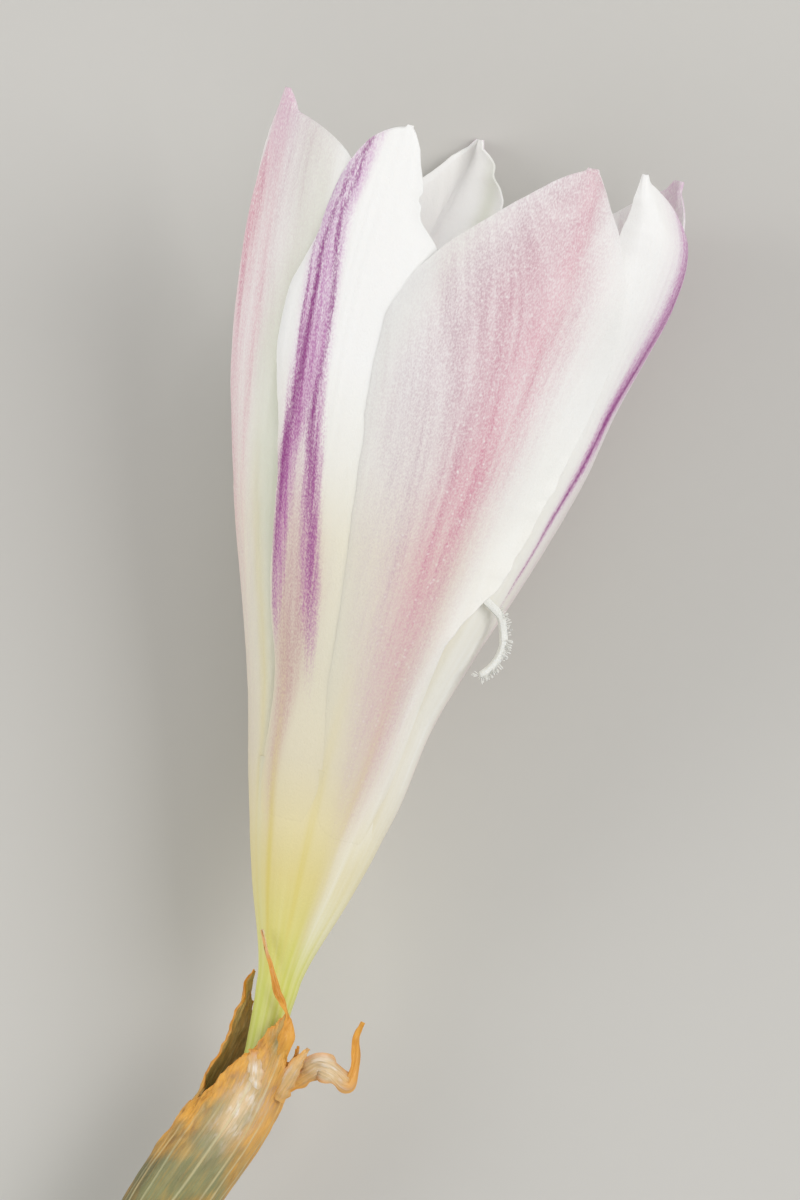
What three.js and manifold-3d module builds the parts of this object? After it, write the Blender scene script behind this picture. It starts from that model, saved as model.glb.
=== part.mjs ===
// Harlequin flower: one half open white bloom with its papery bracts and a cut length of stem.
// Units are millimetres. The flower is built in its own frame: the bloom's axis is +Y, +Z is the
// side that faces up when it lies, and the mouth of the bract sheath is near the origin.
// Azimuths go round the bloom's axis, from 0 on the upper side, positive towards +X.
import * as THREE from 'three';
import { mergeVertices } from 'three/addons/utils/BufferGeometryUtils.js';
import Module from 'manifold-3d';

const wasm = await Module();
wasm.setup();

// How the flower lies: on the cut end of its stem and on the belly of the bloom, which its own weight
// presses flat this far below the axis at this height. The shift puts the origin under its middle.
const FLAT_DEPTH = 8.8;
const FLAT_HEIGHT = 30;
const REST_SHIFT = new THREE.Vector2(0.424, 7.422);

// Bloom: radius of the funnel at equal steps of height, from the neck at 0 to the tips.
const FUNNEL_TOP = 40;
const FUNNEL = [0.90, 2.12, 3.25, 4.22, 5.50, 6.72, 7.77, 8.42, 8.85, 9.05, 9.15];
const THROAT = 5.2;
const OUTER_WHORL = 0.05;
const INNER_WHORL = -0.88;
const WHORLS_PART_BY = 0.07;
const TEPAL_THICKNESS = 0.6;
const TIP_STARTS = 0.62;
const TIP_HALF_WIDTH = 0.3;
const RIM_POWER = 2.2;

// The middle surface of a pressed tepal stays this far above the surface it lies on: half its
// thickness and a hair.
const PRESSED_CLEAR = 0.303;

// Rows of a tepal's grid crowd towards its rounded tip by this power.
const TEPAL_ROWS = 26;
const TEPAL_ROW_POWER = 1.35;
const TEPAL_HALF_COLUMNS = 6;

// Each tepal: the height of its tip, and values at equal steps from the throat to the tip. middle is
// the azimuth of its midline, left and right are how far its margins reach round from there, all in
// degrees. flare moves the whole tepal outwards, rimLeft and rimRight only its margins.
const TEPALS = [
  {
    name: 'tepal_outer_front', reach: 36.1, whorl: OUTER_WHORL, blunt: 0.5,
    middle: [24, 27, 28, 28, 28.5, 29.5, 32],
    left: [28, 38, 46, 48.5, 47, 42, 26],
    right: [27, 24, 20, 14.5, 10.5, 22, 28, 31, 29, 29, 25, 23, 14],
    flare: [0],
    rimLeft: [0],
    rimRight: [0, 0, 0.05, 0.1, 0.3, 0.75, 0.65, 0.6, 0.5, 0.6, 0.8, 0.6, 0.3],
  },
  {
    name: 'tepal_outer_left', reach: 36.5, whorl: OUTER_WHORL, blunt: 0.55,
    middle: [-94, -92, -90, -88, -86, -80, -66],
    left: [25, 32, 36, 38, 38, 36, 28],
    right: [25, 29, 30, 33.5, 35, 44, 60],
    flare: [0, 0, 0, 0, -0.05, -0.15, -0.3],
    rimLeft: [0],
    rimRight: [0, 0, -0.2, -0.3, -0.4, -0.3, 0],
  },
  {
    name: 'tepal_outer_back', reach: 36.6, whorl: OUTER_WHORL, blunt: 0.6,
    middle: [146, 146, 145, 142, 138, 132, 120],
    left: [26, 32, 34, 33, 30, 30, 24],
    right: [26, 34, 38, 38, 36, 36, 36],
    flare: [0, 0, 0, 0.1, 0.3, 0.8, 0.9],
    rimLeft: [0, 0, 0, 0, 0.1, 0.3, 0],
    rimRight: [0],
  },
  {
    name: 'tepal_inner_left', reach: 36.1, whorl: INNER_WHORL, blunt: 0.5,
    middle: [-36, -37, -40, -41, -38, -35, -20],
    left: [24, 20.5, 17, 14.5, 14.5, 15, 26],
    right: [25, 33, 40, 40, 38, 34, 14],
    flare: [0],
    rimLeft: [0, 0, -0.3, -1.0, -1.2, -0.8, 0],
    rimRight: [0],
  },
  {
    name: 'tepal_inner_right', reach: 36.4, whorl: INNER_WHORL, blunt: 0.5,
    middle: [86, 80, 72, 71, 77, 76, 53],
    left: [25, 36, 46, 44, 36, 20, 30, 38, 38, 39, 40, 26, 4],
    right: [25, 34, 40, 40, 38, 40, 40],
    flare: [0, 0, 0.1, 0.38, 0.4, 1.0, 0.4],
    rimLeft: [0, 0, -0.1, -0.38, -0.4, -1.0, -0.5],
    rimRight: [0, 0, 0, -0.2, -0.3, -0.5, 0],
  },
  {
    name: 'tepal_inner_back', reach: 36.4, whorl: INNER_WHORL, blunt: 0.6,
    middle: [-155, -156, -158, -162, -166, -172, -180],
    left: [25, 30, 32, 32, 30, 28, 20],
    right: [25, 30, 36, 38, 38, 32, 15],
    flare: [0],
    rimLeft: [0],
    rimRight: [0],
  },
];

// Tube of the perianth, solid below the floor of its cup. Its straight neck widens from NECK_TOP on.
const TUBE_BOTTOM = -4.2;
const TUBE_NECK_RADIUS = 0.72;
const TUBE_NECK_TOP = -3;
const TUBE_NECK_SLOPE = 0.05;
const TUBE_RIM = 4.9;
const TUBE_STEP = 0.7;
const TUBE_SIDES = 28;
const CUP_FLOOR = 2.9;
const CUP_WALL = 0.55;

// Spine of bracts, ovary and stem: straight down the bloom's axis, then bent at the knee.
const KNEE = -4.45;
const KNEE_REACH = 3.0;
const STEM_LEAN = THREE.MathUtils.degToRad(22.6);
const STEM_STRAIGHTENS = THREE.MathUtils.degToRad(24);
const STEM_END = -53;
const BRACT_BASE = -14.2;
const OVARY_TOP = -4.5;
const OVARY_BOTTOM = -9.2;
const OVARY_RADIUS = 1.0;
const OVARY_ROUNDING = { from: 0.05, to: 0.95, least: 0.18 };
const OVARY_STEPS = 10;
const OVARY_SIDES = 12;
const STEM_TOP = -9.5;
const STEM_RADIUS_TOP = 0.85;
const STEM_RADIUS_END = 1.1;
const STEM_STEPS = 30;
const STEM_SIDES = 14;

// Bract sheath: radius of its middle surface at equal steps from its base to where it hugs the tube.
const BRACT_THICKNESS = 0.6;
const SHEATH_TOP = 0.4;
const SHEATH = [1.3, 1.5, 1.58, 1.62, 1.64, 1.66, 1.68, 1.6, 1.42, 1.35];
const BRACT_ROWS = 12;

// Torn upper edges of the two bracts, as [azimuth, height on the spine].
const OUTER_BRACT_RIM = [
  [-78, -6.9], [-62, -6.1], [-45, -5.25], [-28, -3.9], [-9, -3.0], [0, -2.35], [13, -1.65],
  [24, -1.3], [37, -1.5], [43, -2.9], [52, -3.1], [61, -2.5], [74, -2.5], [84, -3.3], [100, -3.6],
  [116, -4.4],
];
const INNER_BRACT_RIM = [
  [127, -4.2], [142, -3.2], [156, -3.6], [170, -2.0], [184, -2.6], [200, -1.4], [214, -1.9],
  [228, -0.9], [240, -0.2], [250, 0.35], [258, -0.5], [266, -2.2], [272, -3.4],
];

// Loose ends torn from the outer bract: the long awn in front of the tube and the curled ribbon.
const AWN = [
  [0.72, -2.2, 1.38], [0.60, -1.15, 1.36], [0.32, -0.85, 1.42], [-0.13, -0.1, 1.47],
  [-0.52, 0.48, 1.5], [-0.93, 1.29, 1.5], [-1.23, 1.9, 1.62],
];
const AWN_WIDTHS = [0.7, 0.55, 0.5, 0.5, 0.42, 0.34, 0.25];
const RIBBON = [
  [1.45, -3.9, 0.5], [1.95, -3.55, 0.55], [2.43, -3.13, 0.7], [3.02, -3.25, 0.6],
  [3.63, -3.2, 0.4], [3.88, -2.31, 0.3], [3.72, -1.49, 0.35], [3.84, -0.9, 0.45],
];
const RIBBON_WIDTHS = [0.9, 0.9, 1.1, 0.8, 0.9, 0.5, 0.4, 0.3];
const STRIP_THICKNESS = 0.45;
const STRIP_STEPS_PER_PLACE = 3;

// Stamens: a filament that bows outwards, and an anther that narrows to its top.
const STAMEN_AZIMUTHS = [-95, 25, 145];
const FILAMENT_FOOT = 3.2;
const FILAMENT_TOP = 9.4;
const FILAMENT_FOOT_OUT = 0.86;
const FILAMENT_TOP_OUT = 1.6;
const FILAMENT_BOW = 0.3;
const FILAMENT_FOOT_RADIUS = 0.264;
const FILAMENT_TOP_RADIUS = 0.192;
const FILAMENT_STEPS = 8;
const FILAMENT_SIDES = 8;
const ANTHER_BOTTOM = 9.7;
const ANTHER_TOP = 16.4;
const ANTHER_TOP_OUT = 2.6;
const ANTHER_HALF_WIDTH = 0.55;
const ANTHER_HALF_DEPTH = 0.36;
const ANTHER_TAPER = 0.35;
const ANTHER_WAIST = 0.72;
const ANTHER_ROUNDING = { from: 0.04, to: 0.97, least: 0.06 };
const ANTHER_STEPS = 12;
const ANTHER_SIDES = 12;

// Style: its column and the places that its three branches run through.
const STYLE_RADIUS = 0.22;
const STYLE_STEPS = 10;
const STYLE_SIDES = 8;
const STYLE_PATH = [[0, 3.2, 0], [0.05, 7, 0.05], [0.2, 11, 0.15], [0.5, 14.6, 0.4]];
const STYLE_BRANCHES = [
  [[0.5, 14.4, 0.4], [1.6, 16.6, 1.5], [2.9, 18.2, 2.8], [4.0, 18.2, 3.8], [4.62, 17.6, 3.82],
    [5.1, 17.3, 3.2], [5.5, 17.0, 2.7], [5.74, 16.45, 2.35], [5.89, 15.85, 2.2], [5.79, 15.2, 2.1],
    [5.49, 14.65, 2.1], [5.2, 14.37, 2.15]],
  [[0.5, 14.4, 0.4], [-0.2, 16.6, 1.0], [-1.2, 18.6, 1.8], [-2.4, 19.6, 2.4], [-3.2, 19.0, 2.6]],
  [[0.5, 14.4, 0.4], [0.6, 16.8, -0.4], [0.6, 18.9, -1.6], [0.4, 20.2, -3.0], [0.2, 19.8, -3.9]],
];
const BRANCH_RADIUS = 0.2;
const BRANCH_TIP_FROM = 0.97;
const BRANCH_TIP_SHARE = 0.7;
const PAPILLAE_FROM = 0.3;
const PAPILLA_HEIGHT = 0.14;
const PAPILLA_PITCH = 0.3;

function colour(hex, roughness) {
  return new THREE.MeshStandardMaterial({ color: hex, roughness, metalness: 0 });
}

// Value at fraction t of a smooth curve through equally spaced values.
function along(values, t) {
  const last = values.length - 1;
  if (last === 0) return values[0];
  const place = THREE.MathUtils.clamp(t, 0, 1) * last;
  const i = Math.min(Math.floor(place), last - 1);
  const f = place - i;
  const a = values[Math.max(i - 1, 0)];
  const b = values[i];
  const c = values[i + 1];
  const d = values[Math.min(i + 2, last)];
  const bend = (2 * a - 5 * b + 4 * c - d) * f * f + (3 * b - a - 3 * c + d) * f * f * f;
  return 0.5 * (2 * b + (c - a) * f + bend);
}

function funnelRadius(y) {
  return along(FUNNEL, y / FUNNEL_TOP);
}

// Share of full thickness at fraction t of a body with rounded ends.
function rounded(rounding, t) {
  const turn = THREE.MathUtils.lerp(rounding.from, rounding.to, t);
  return Math.sqrt(Math.max(rounding.least, Math.sin(Math.PI * turn)));
}

function geometryFrom(points, faces) {
  const geometry = new THREE.BufferGeometry();
  geometry.setAttribute('position', new THREE.Float32BufferAttribute(points.flatMap((p) => p.toArray()), 3));
  geometry.setIndex(faces);
  return geometry;
}

// Closed sheet round a grid of points: the same triangles on both faces, and a strip round the edge.
function sheet(grid, thickness) {
  const rows = grid.length;
  const columns = grid[0].length;
  const count = rows * columns;
  const front = [];
  const back = [];
  for (let i = 0; i < rows; i += 1) {
    for (let j = 0; j < columns; j += 1) {
      const up = grid[Math.min(i + 1, rows - 1)][j].clone().sub(grid[Math.max(i - 1, 0)][j]);
      const across = grid[i][Math.min(j + 1, columns - 1)].clone().sub(grid[i][Math.max(j - 1, 0)]);
      const half = across.cross(up).normalize().multiplyScalar(thickness / 2);
      front.push(grid[i][j].clone().add(half));
      back.push(grid[i][j].clone().sub(half));
    }
  }
  const faces = [];
  for (let i = 0; i + 1 < rows; i += 1) {
    for (let j = 0; j + 1 < columns; j += 1) {
      const a = i * columns + j;
      const b = a + 1;
      const c = b + columns;
      const d = a + columns;
      faces.push(a, b, c, a, c, d);
      faces.push(count + a, count + c, count + b, count + a, count + d, count + c);
    }
  }
  const border = [];
  for (let j = 0; j < columns; j += 1) border.push(j);
  for (let i = 1; i < rows; i += 1) border.push(i * columns + columns - 1);
  for (let j = columns - 2; j >= 0; j -= 1) border.push((rows - 1) * columns + j);
  for (let i = rows - 2; i > 0; i -= 1) border.push(i * columns);
  border.forEach((a, k) => {
    const b = border[(k + 1) % border.length];
    faces.push(a, count + a, b, b, count + a, count + b);
  });
  return geometryFrom([...front, ...back], faces);
}

// Closed solid through a list of rings with the same number of points, ends closed by a fan.
function loft(rings) {
  const sides = rings[0].length;
  const points = rings.flat();
  const faces = [];
  for (let i = 0; i + 1 < rings.length; i += 1) {
    for (let j = 0; j < sides; j += 1) {
      const a = i * sides + j;
      const b = i * sides + ((j + 1) % sides);
      faces.push(a, b, b + sides, a, b + sides, a + sides);
    }
  }
  [0, rings.length - 1].forEach((i) => {
    const middle = new THREE.Vector3();
    rings[i].forEach((p) => middle.addScaledVector(p, 1 / sides));
    points.push(middle);
    for (let j = 0; j < sides; j += 1) {
      const a = i * sides + j;
      const b = i * sides + ((j + 1) % sides);
      if (i === 0) faces.push(points.length - 1, b, a);
      else faces.push(points.length - 1, a, b);
    }
  });
  return geometryFrom(points, faces);
}

// Rod along a path of points. section(t, angle) gives the distance from the path.
function rod(path, steps, sides, section) {
  const curve = new THREE.CatmullRomCurve3(path, false, 'centripetal');
  const side = new THREE.Vector3(0, 0, 1);
  const rings = [];
  for (let i = 0; i <= steps; i += 1) {
    const t = i / steps;
    const middle = curve.getPointAt(t);
    const ahead = curve.getTangentAt(t);
    side.addScaledVector(ahead, -side.dot(ahead)).normalize();
    const across = side.clone().cross(ahead);
    const ring = [];
    for (let j = 0; j < sides; j += 1) {
      const angle = (2 * Math.PI * j) / sides;
      const out = section(t, angle);
      ring.push(middle.clone()
        .addScaledVector(side, Math.cos(angle) * out)
        .addScaledVector(across, -Math.sin(angle) * out));
    }
    rings.push(ring);
  }
  return loft(rings);
}

function toSolid(geometry) {
  const bare = geometry.clone();
  bare.deleteAttribute('normal');
  bare.deleteAttribute('uv');
  const merged = mergeVertices(bare, 1e-4);
  return new wasm.Manifold(new wasm.Mesh({
    numProp: 3,
    vertProperties: merged.attributes.position.array,
    triVerts: Uint32Array.from(merged.index.array),
  }));
}

function fuse(geometries) {
  const mesh = wasm.Manifold.union(geometries.map(toSolid)).getMesh();
  const geometry = new THREE.BufferGeometry();
  geometry.setAttribute('position', new THREE.Float32BufferAttribute(mesh.vertProperties, 3));
  geometry.setIndex(Array.from(mesh.triVerts));
  return geometry;
}

// Angle that raises the mouth of the bloom when stem end and flattened belly lie on the surface.
function restPitch() {
  const end = spinePoint(STEM_END);
  return Math.atan((FLAT_DEPTH - STEM_RADIUS_END) / (FLAT_HEIGHT - end.y));
}

// Height of the surface below the bloom's axis at height y, as a negative z.
function surfaceBelow(y) {
  return -FLAT_DEPTH - (y - FLAT_HEIGHT) * Math.tan(restPitch());
}

// Point of a tepal's middle surface: t runs from throat to tip, u from -1 at its left margin to 1.
function tepalPoint(tepal, t, u) {
  const y = THROAT + (tepal.reach - THROAT) * t;
  const base = funnelRadius(y);
  const end = Math.max(0, (t - TIP_STARTS) / (1 - TIP_STARTS));
  const narrowing = Math.max(0, 1 - end * end) ** tepal.blunt;
  const least = THREE.MathUtils.radToDeg(TIP_HALF_WIDTH / base);
  const span = Math.max(along(u < 0 ? tepal.left : tepal.right, t) * narrowing, least);
  const azimuth = THREE.MathUtils.degToRad(along(tepal.middle, t) + span * u);
  const rim = along(u < 0 ? tepal.rimLeft : tepal.rimRight, t) * Math.abs(u) ** RIM_POWER;
  const apart = tepal.whorl * THREE.MathUtils.smoothstep(t, 0, WHORLS_PART_BY);
  const radius = base + apart + along(tepal.flare, t) + rim;
  const pressed = surfaceBelow(y) + PRESSED_CLEAR;
  return new THREE.Vector3(radius * Math.sin(azimuth), y, Math.max(radius * Math.cos(azimuth), pressed));
}

function tepalGeometry(tepal) {
  const grid = [];
  for (let i = 0; i <= TEPAL_ROWS; i += 1) {
    const t = 1 - (1 - i / TEPAL_ROWS) ** TEPAL_ROW_POWER;
    const row = [];
    for (let j = -TEPAL_HALF_COLUMNS; j <= TEPAL_HALF_COLUMNS; j += 1) {
      row.push(tepalPoint(tepal, t, j / TEPAL_HALF_COLUMNS));
    }
    grid.push(row);
  }
  return sheet(grid, TEPAL_THICKNESS);
}

function tubeGeometry() {
  const profile = [new THREE.Vector2(0, TUBE_BOTTOM), new THREE.Vector2(TUBE_NECK_RADIUS, TUBE_BOTTOM)];
  for (let y = TUBE_NECK_TOP + 1; y < 0; y += 1) {
    profile.push(new THREE.Vector2(TUBE_NECK_RADIUS + TUBE_NECK_SLOPE * (y - TUBE_NECK_TOP), y));
  }
  for (let y = 0; y <= TUBE_RIM; y += TUBE_STEP) profile.push(new THREE.Vector2(funnelRadius(y), y));
  profile.push(new THREE.Vector2(funnelRadius(TUBE_RIM) - CUP_WALL, TUBE_RIM));
  profile.push(new THREE.Vector2(funnelRadius(CUP_FLOOR) - CUP_WALL, CUP_FLOOR));
  profile.push(new THREE.Vector2(0, CUP_FLOOR));
  return new THREE.LatheGeometry(profile, TUBE_SIDES);
}

// Point of the spine at height s, with s measured along it.
function spinePoint(s) {
  const down = new THREE.Vector3(-Math.sin(STEM_LEAN), -Math.cos(STEM_LEAN), 0);
  const knee = new THREE.Vector3(0, KNEE, 0);
  if (s >= KNEE + KNEE_REACH) return new THREE.Vector3(0, s, 0);
  if (s > KNEE - KNEE_REACH) {
    const start = new THREE.Vector3(0, KNEE + KNEE_REACH, 0);
    const end = knee.clone().addScaledVector(down, KNEE_REACH);
    const curve = new THREE.QuadraticBezierCurve3(start, knee, end);
    return curve.getPoint((KNEE + KNEE_REACH - s) / (2 * KNEE_REACH));
  }
  const past = KNEE - KNEE_REACH - s;
  const whole = KNEE - KNEE_REACH - STEM_END;
  const turn = (STEM_STRAIGHTENS * past) / whole;
  const middle = STEM_LEAN - turn / 2;
  return knee.addScaledVector(down, KNEE_REACH)
    .add(new THREE.Vector3(-Math.sin(middle), -Math.cos(middle), 0).multiplyScalar(past));
}

// Places along the spine between two heights, for a rod to run through.
function spinePath(from, to, steps) {
  const path = [];
  for (let i = 0; i <= steps; i += 1) path.push(spinePoint(from + ((to - from) * i) / steps));
  return path;
}

// Half sheath of a bract: it wraps the spine between the azimuths of its torn rim.
function bractGeometry(rim) {
  const grid = [];
  for (let i = 0; i <= BRACT_ROWS; i += 1) {
    grid.push(rim.map(([azimuth, top]) => {
      const s = BRACT_BASE + ((top - BRACT_BASE) * i) / BRACT_ROWS;
      const radius = along(SHEATH, (s - BRACT_BASE) / (SHEATH_TOP - BRACT_BASE));
      const up = spinePoint(s + 0.1).sub(spinePoint(s - 0.1)).normalize();
      const right = new THREE.Vector3(up.y, -up.x, 0);
      const angle = THREE.MathUtils.degToRad(azimuth);
      return spinePoint(s)
        .addScaledVector(right, radius * Math.sin(angle))
        .add(new THREE.Vector3(0, 0, radius * Math.cos(angle)));
    }));
  }
  return sheet(grid, BRACT_THICKNESS);
}

// Flat strip along a path of points, with its width across the path and its face towards +Z.
function stripGeometry(places, widths) {
  const path = places.map((place) => new THREE.Vector3(...place));
  const curve = new THREE.CatmullRomCurve3(path, false, 'centripetal');
  const steps = STRIP_STEPS_PER_PLACE * (path.length - 1);
  const rings = [];
  for (let i = 0; i <= steps; i += 1) {
    const t = i / steps;
    const middle = curve.getPoint(t);
    const ahead = curve.getTangent(t);
    const across = new THREE.Vector3(ahead.y, -ahead.x, 0).normalize();
    const half = along(widths, t) / 2;
    const corners = [[-half, 1], [half, 1], [half, -1], [-half, -1]];
    rings.push(corners.map(([sideways, lift]) => middle.clone()
      .addScaledVector(across, sideways)
      .add(new THREE.Vector3(0, 0, (lift * STRIP_THICKNESS) / 2))));
  }
  return loft(rings);
}

function around(azimuth, out, y) {
  const angle = THREE.MathUtils.degToRad(azimuth);
  return new THREE.Vector3(out * Math.sin(angle), y, out * Math.cos(angle));
}

function filamentGeometry(azimuth) {
  const path = [
    around(azimuth, FILAMENT_FOOT_OUT, FILAMENT_FOOT),
    around(azimuth, FILAMENT_FOOT_OUT + FILAMENT_BOW, (FILAMENT_FOOT + FILAMENT_TOP) / 2),
    around(azimuth, FILAMENT_TOP_OUT, FILAMENT_TOP),
  ];
  return rod(path, FILAMENT_STEPS, FILAMENT_SIDES, (t) => (
    THREE.MathUtils.lerp(FILAMENT_FOOT_RADIUS, FILAMENT_TOP_RADIUS, t)));
}

// Anther: an arrow shaped body with two pollen sacs and a groove between them.
function antherGeometry(azimuth) {
  const lean = (ANTHER_TOP_OUT - FILAMENT_TOP_OUT) / (ANTHER_TOP - ANTHER_BOTTOM);
  const angle = THREE.MathUtils.degToRad(azimuth);
  const sideways = new THREE.Vector3(Math.cos(angle), 0, -Math.sin(angle));
  const outwards = new THREE.Vector3(Math.sin(angle), -lean, Math.cos(angle)).normalize();
  const rings = [];
  for (let i = 0; i <= ANTHER_STEPS; i += 1) {
    const t = i / ANTHER_STEPS;
    const y = ANTHER_BOTTOM + (ANTHER_TOP - ANTHER_BOTTOM) * t;
    const middle = around(azimuth, FILAMENT_TOP_OUT + lean * (y - ANTHER_BOTTOM), y);
    const size = rounded(ANTHER_ROUNDING, t) * (1 - ANTHER_TAPER * t);
    const ring = [];
    for (let j = 0; j < ANTHER_SIDES; j += 1) {
      const a = (2 * Math.PI * j) / ANTHER_SIDES;
      const sacs = THREE.MathUtils.lerp(ANTHER_WAIST, 1, Math.abs(Math.cos(a)));
      ring.push(middle.clone()
        .addScaledVector(sideways, Math.cos(a) * ANTHER_HALF_WIDTH * size)
        .addScaledVector(outwards, Math.sin(a) * ANTHER_HALF_DEPTH * size * sacs));
    }
    rings.push(ring.reverse());
  }
  return loft(rings);
}

// Branch of the style: every second ring stands out on its outer side, as a row of papillae.
function branchGeometry(places) {
  const path = places.map((place) => new THREE.Vector3(...place));
  const length = new THREE.CatmullRomCurve3(path, false, 'centripetal').getLength();
  const steps = Math.round((2 * length) / PAPILLA_PITCH);
  return rod(path, steps, STYLE_SIDES, (t, angle) => {
    const standing = Math.round(t * steps) % 2 === 1 && t > PAPILLAE_FROM;
    const raised = standing ? PAPILLA_HEIGHT * Math.max(0, Math.cos(angle)) : 0;
    return BRANCH_RADIUS * (t > BRANCH_TIP_FROM ? BRANCH_TIP_SHARE : 1) + raised;
  });
}

function styleGeometry() {
  const path = STYLE_PATH.map((place) => new THREE.Vector3(...place));
  const column = rod(path, STYLE_STEPS, STYLE_SIDES, () => STYLE_RADIUS);
  return fuse([column, ...STYLE_BRANCHES.map(branchGeometry)]);
}

function ovaryGeometry() {
  const path = spinePath(OVARY_TOP, OVARY_BOTTOM, OVARY_STEPS - 2);
  return rod(path, OVARY_STEPS, OVARY_SIDES, (t) => OVARY_RADIUS * rounded(OVARY_ROUNDING, t));
}

function stemGeometry() {
  const path = spinePath(STEM_TOP, STEM_END, STEM_STEPS / 2 + 1);
  return rod(path, STEM_STEPS, STEM_SIDES, (t) => (
    THREE.MathUtils.lerp(STEM_RADIUS_TOP, STEM_RADIUS_END, t)));
}

const PETAL = colour('#f1f0ea', 0.55);
const TUBE = colour('#d3d08d', 0.55);
const BRACT = colour('#a98f55', 0.7);
const GREEN = colour('#9dbb5c', 0.6);
const STAMEN = colour('#efe6c4', 0.6);
const ANTHER = colour('#d9bf6a', 0.7);

const flower = new THREE.Group();

function add(name, geometry, material) {
  const mesh = new THREE.Mesh(geometry, material.clone());
  mesh.name = name;
  flower.add(mesh);
}

TEPALS.forEach((tepal) => add(tepal.name, tepalGeometry(tepal), PETAL));
add('perianth_tube', tubeGeometry(), TUBE);
add('bract_outer', fuse([
  bractGeometry(OUTER_BRACT_RIM),
  stripGeometry(AWN, AWN_WIDTHS),
  stripGeometry(RIBBON, RIBBON_WIDTHS),
]), BRACT);
add('bract_inner', bractGeometry(INNER_BRACT_RIM), BRACT);
add('ovary', ovaryGeometry(), GREEN);
add('stem', stemGeometry(), GREEN);
STAMEN_AZIMUTHS.forEach((azimuth, i) => {
  add(`filament_${i + 1}`, filamentGeometry(azimuth), STAMEN);
  add(`anther_${i + 1}`, antherGeometry(azimuth), ANTHER);
});
add('style', styleGeometry(), STAMEN);

const pitch = restPitch();
flower.rotation.x = pitch;
flower.position.set(
  REST_SHIFT.x,
  REST_SHIFT.y,
  FLAT_DEPTH * Math.cos(pitch) - FLAT_HEIGHT * Math.sin(pitch),
);

export default flower;
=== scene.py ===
"""Looks of a cut harlequin flower, lying on a pale table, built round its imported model.

Sizes are millimetres in the bloom's own frame: its axis is +Y, +Z is the side that faces up, and the
mouth of the bract sheath is near the origin. Azimuths are degrees round the axis, from 0 on the upper
side, positive towards +X. Lie.matrix takes such a point to metres in the model's frame.
"""

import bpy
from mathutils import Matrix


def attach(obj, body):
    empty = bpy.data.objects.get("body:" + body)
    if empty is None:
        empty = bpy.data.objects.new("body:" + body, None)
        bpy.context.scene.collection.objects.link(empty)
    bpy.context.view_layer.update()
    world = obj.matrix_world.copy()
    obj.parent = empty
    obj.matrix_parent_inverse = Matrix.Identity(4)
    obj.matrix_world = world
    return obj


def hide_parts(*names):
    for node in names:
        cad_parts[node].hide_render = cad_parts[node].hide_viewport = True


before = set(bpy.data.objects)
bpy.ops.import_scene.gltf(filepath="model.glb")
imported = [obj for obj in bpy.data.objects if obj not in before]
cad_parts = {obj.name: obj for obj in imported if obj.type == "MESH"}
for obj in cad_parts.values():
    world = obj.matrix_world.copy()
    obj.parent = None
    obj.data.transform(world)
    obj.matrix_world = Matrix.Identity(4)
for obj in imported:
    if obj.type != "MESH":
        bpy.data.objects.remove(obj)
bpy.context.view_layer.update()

import logging
import math
import random
from collections.abc import Callable, Sequence
from dataclasses import dataclass, field
from enum import Enum

import bpy
from mathutils import Matrix, Quaternion, Vector, noise

MM = 0.001
BODY = "root"
FLOW = "flow"

Piece = bpy.types.Object
Material = bpy.types.Material
Socket = bpy.types.NodeSocket
Value = Socket | float
Triple = tuple[float, float, float]
Row = tuple[float, ...]

log = logging.getLogger("harlequin_flower")


def linear(hex_colour: str) -> tuple[float, float, float, float]:
    """Turn an sRGB hex colour such as "#F2F2EC" into the linear colour that a shader takes.

    Args:
        hex_colour: The colour.

    Returns:
        Linear red, green and blue, and an alpha of one.
    """
    parts = [int(hex_colour[i : i + 2], 16) / 255 for i in (1, 3, 5)]
    red, green, blue = [p / 12.92 if p <= 0.04045 else ((p + 0.055) / 1.055) ** 2.4 for p in parts]
    return red, green, blue, 1.0


def held(x: float) -> float:
    """Keep a value from 0 to 1."""
    return min(max(x, 0.0), 1.0)


def ease(start: float, end: float, x: float) -> float:
    """Rise smoothly from 0 at start to 1 at end."""
    t = held((x - start) / (end - start))
    return t * t * (3 - 2 * t)


def bell(x: float, middle: float, half: float) -> float:
    """Rise to 1 at the middle and fall away on both sides of it."""
    return math.exp(-(((x - middle) / half) ** 2))


def rough(x: float, y: float, z: float) -> float:
    """Smooth random value from -1 to 1 that never changes for one place.

    A caller scales a place to the size of its swellings, and a seed sets one noise apart from another.
    """
    return noise.noise(Vector((x, y, z)))


def stepped(first: float, last: float, steps: int) -> list[float]:
    """Evenly spaced values, one more than there are steps."""
    return [first + (last - first) * k / steps for k in range(steps + 1)]


def along(values: Sequence[float], t: float) -> float:
    """Read a smooth curve through equally spaced values.

    Args:
        values: The values at equal steps.
        t: How far along, from 0 to 1.

    Returns:
        The value there.
    """
    last = len(values) - 1
    if last == 0:
        return values[0]
    place = held(t) * last
    i = min(int(place), last - 1)
    f = place - i
    a, b, c, d = values[max(i - 1, 0)], values[i], values[i + 1], values[min(i + 2, last)]
    bend = (2 * a - 5 * b + 4 * c - d) * f * f + (3 * b - a - 3 * c + d) * f * f * f
    return 0.5 * (2 * b + (c - a) * f + bend)


def on_path(knots: Sequence[Sequence[float]], t: float) -> Vector:
    """Place t of the way along a smooth path through points."""
    return Vector([along(row, t) for row in zip(*knots)])


def through(knots: Sequence[Sequence[float]], steps: int) -> list[Vector]:
    """Places at even steps of a smooth path through points."""
    return [on_path(knots, k / steps) for k in range(steps + 1)]


def around(azimuth: float, out: float, y: float) -> Vector:
    """Point at an azimuth in degrees, a distance out from the axis and a height."""
    angle = math.radians(azimuth)
    return Vector((out * math.sin(angle), y, out * math.cos(angle)))


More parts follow.
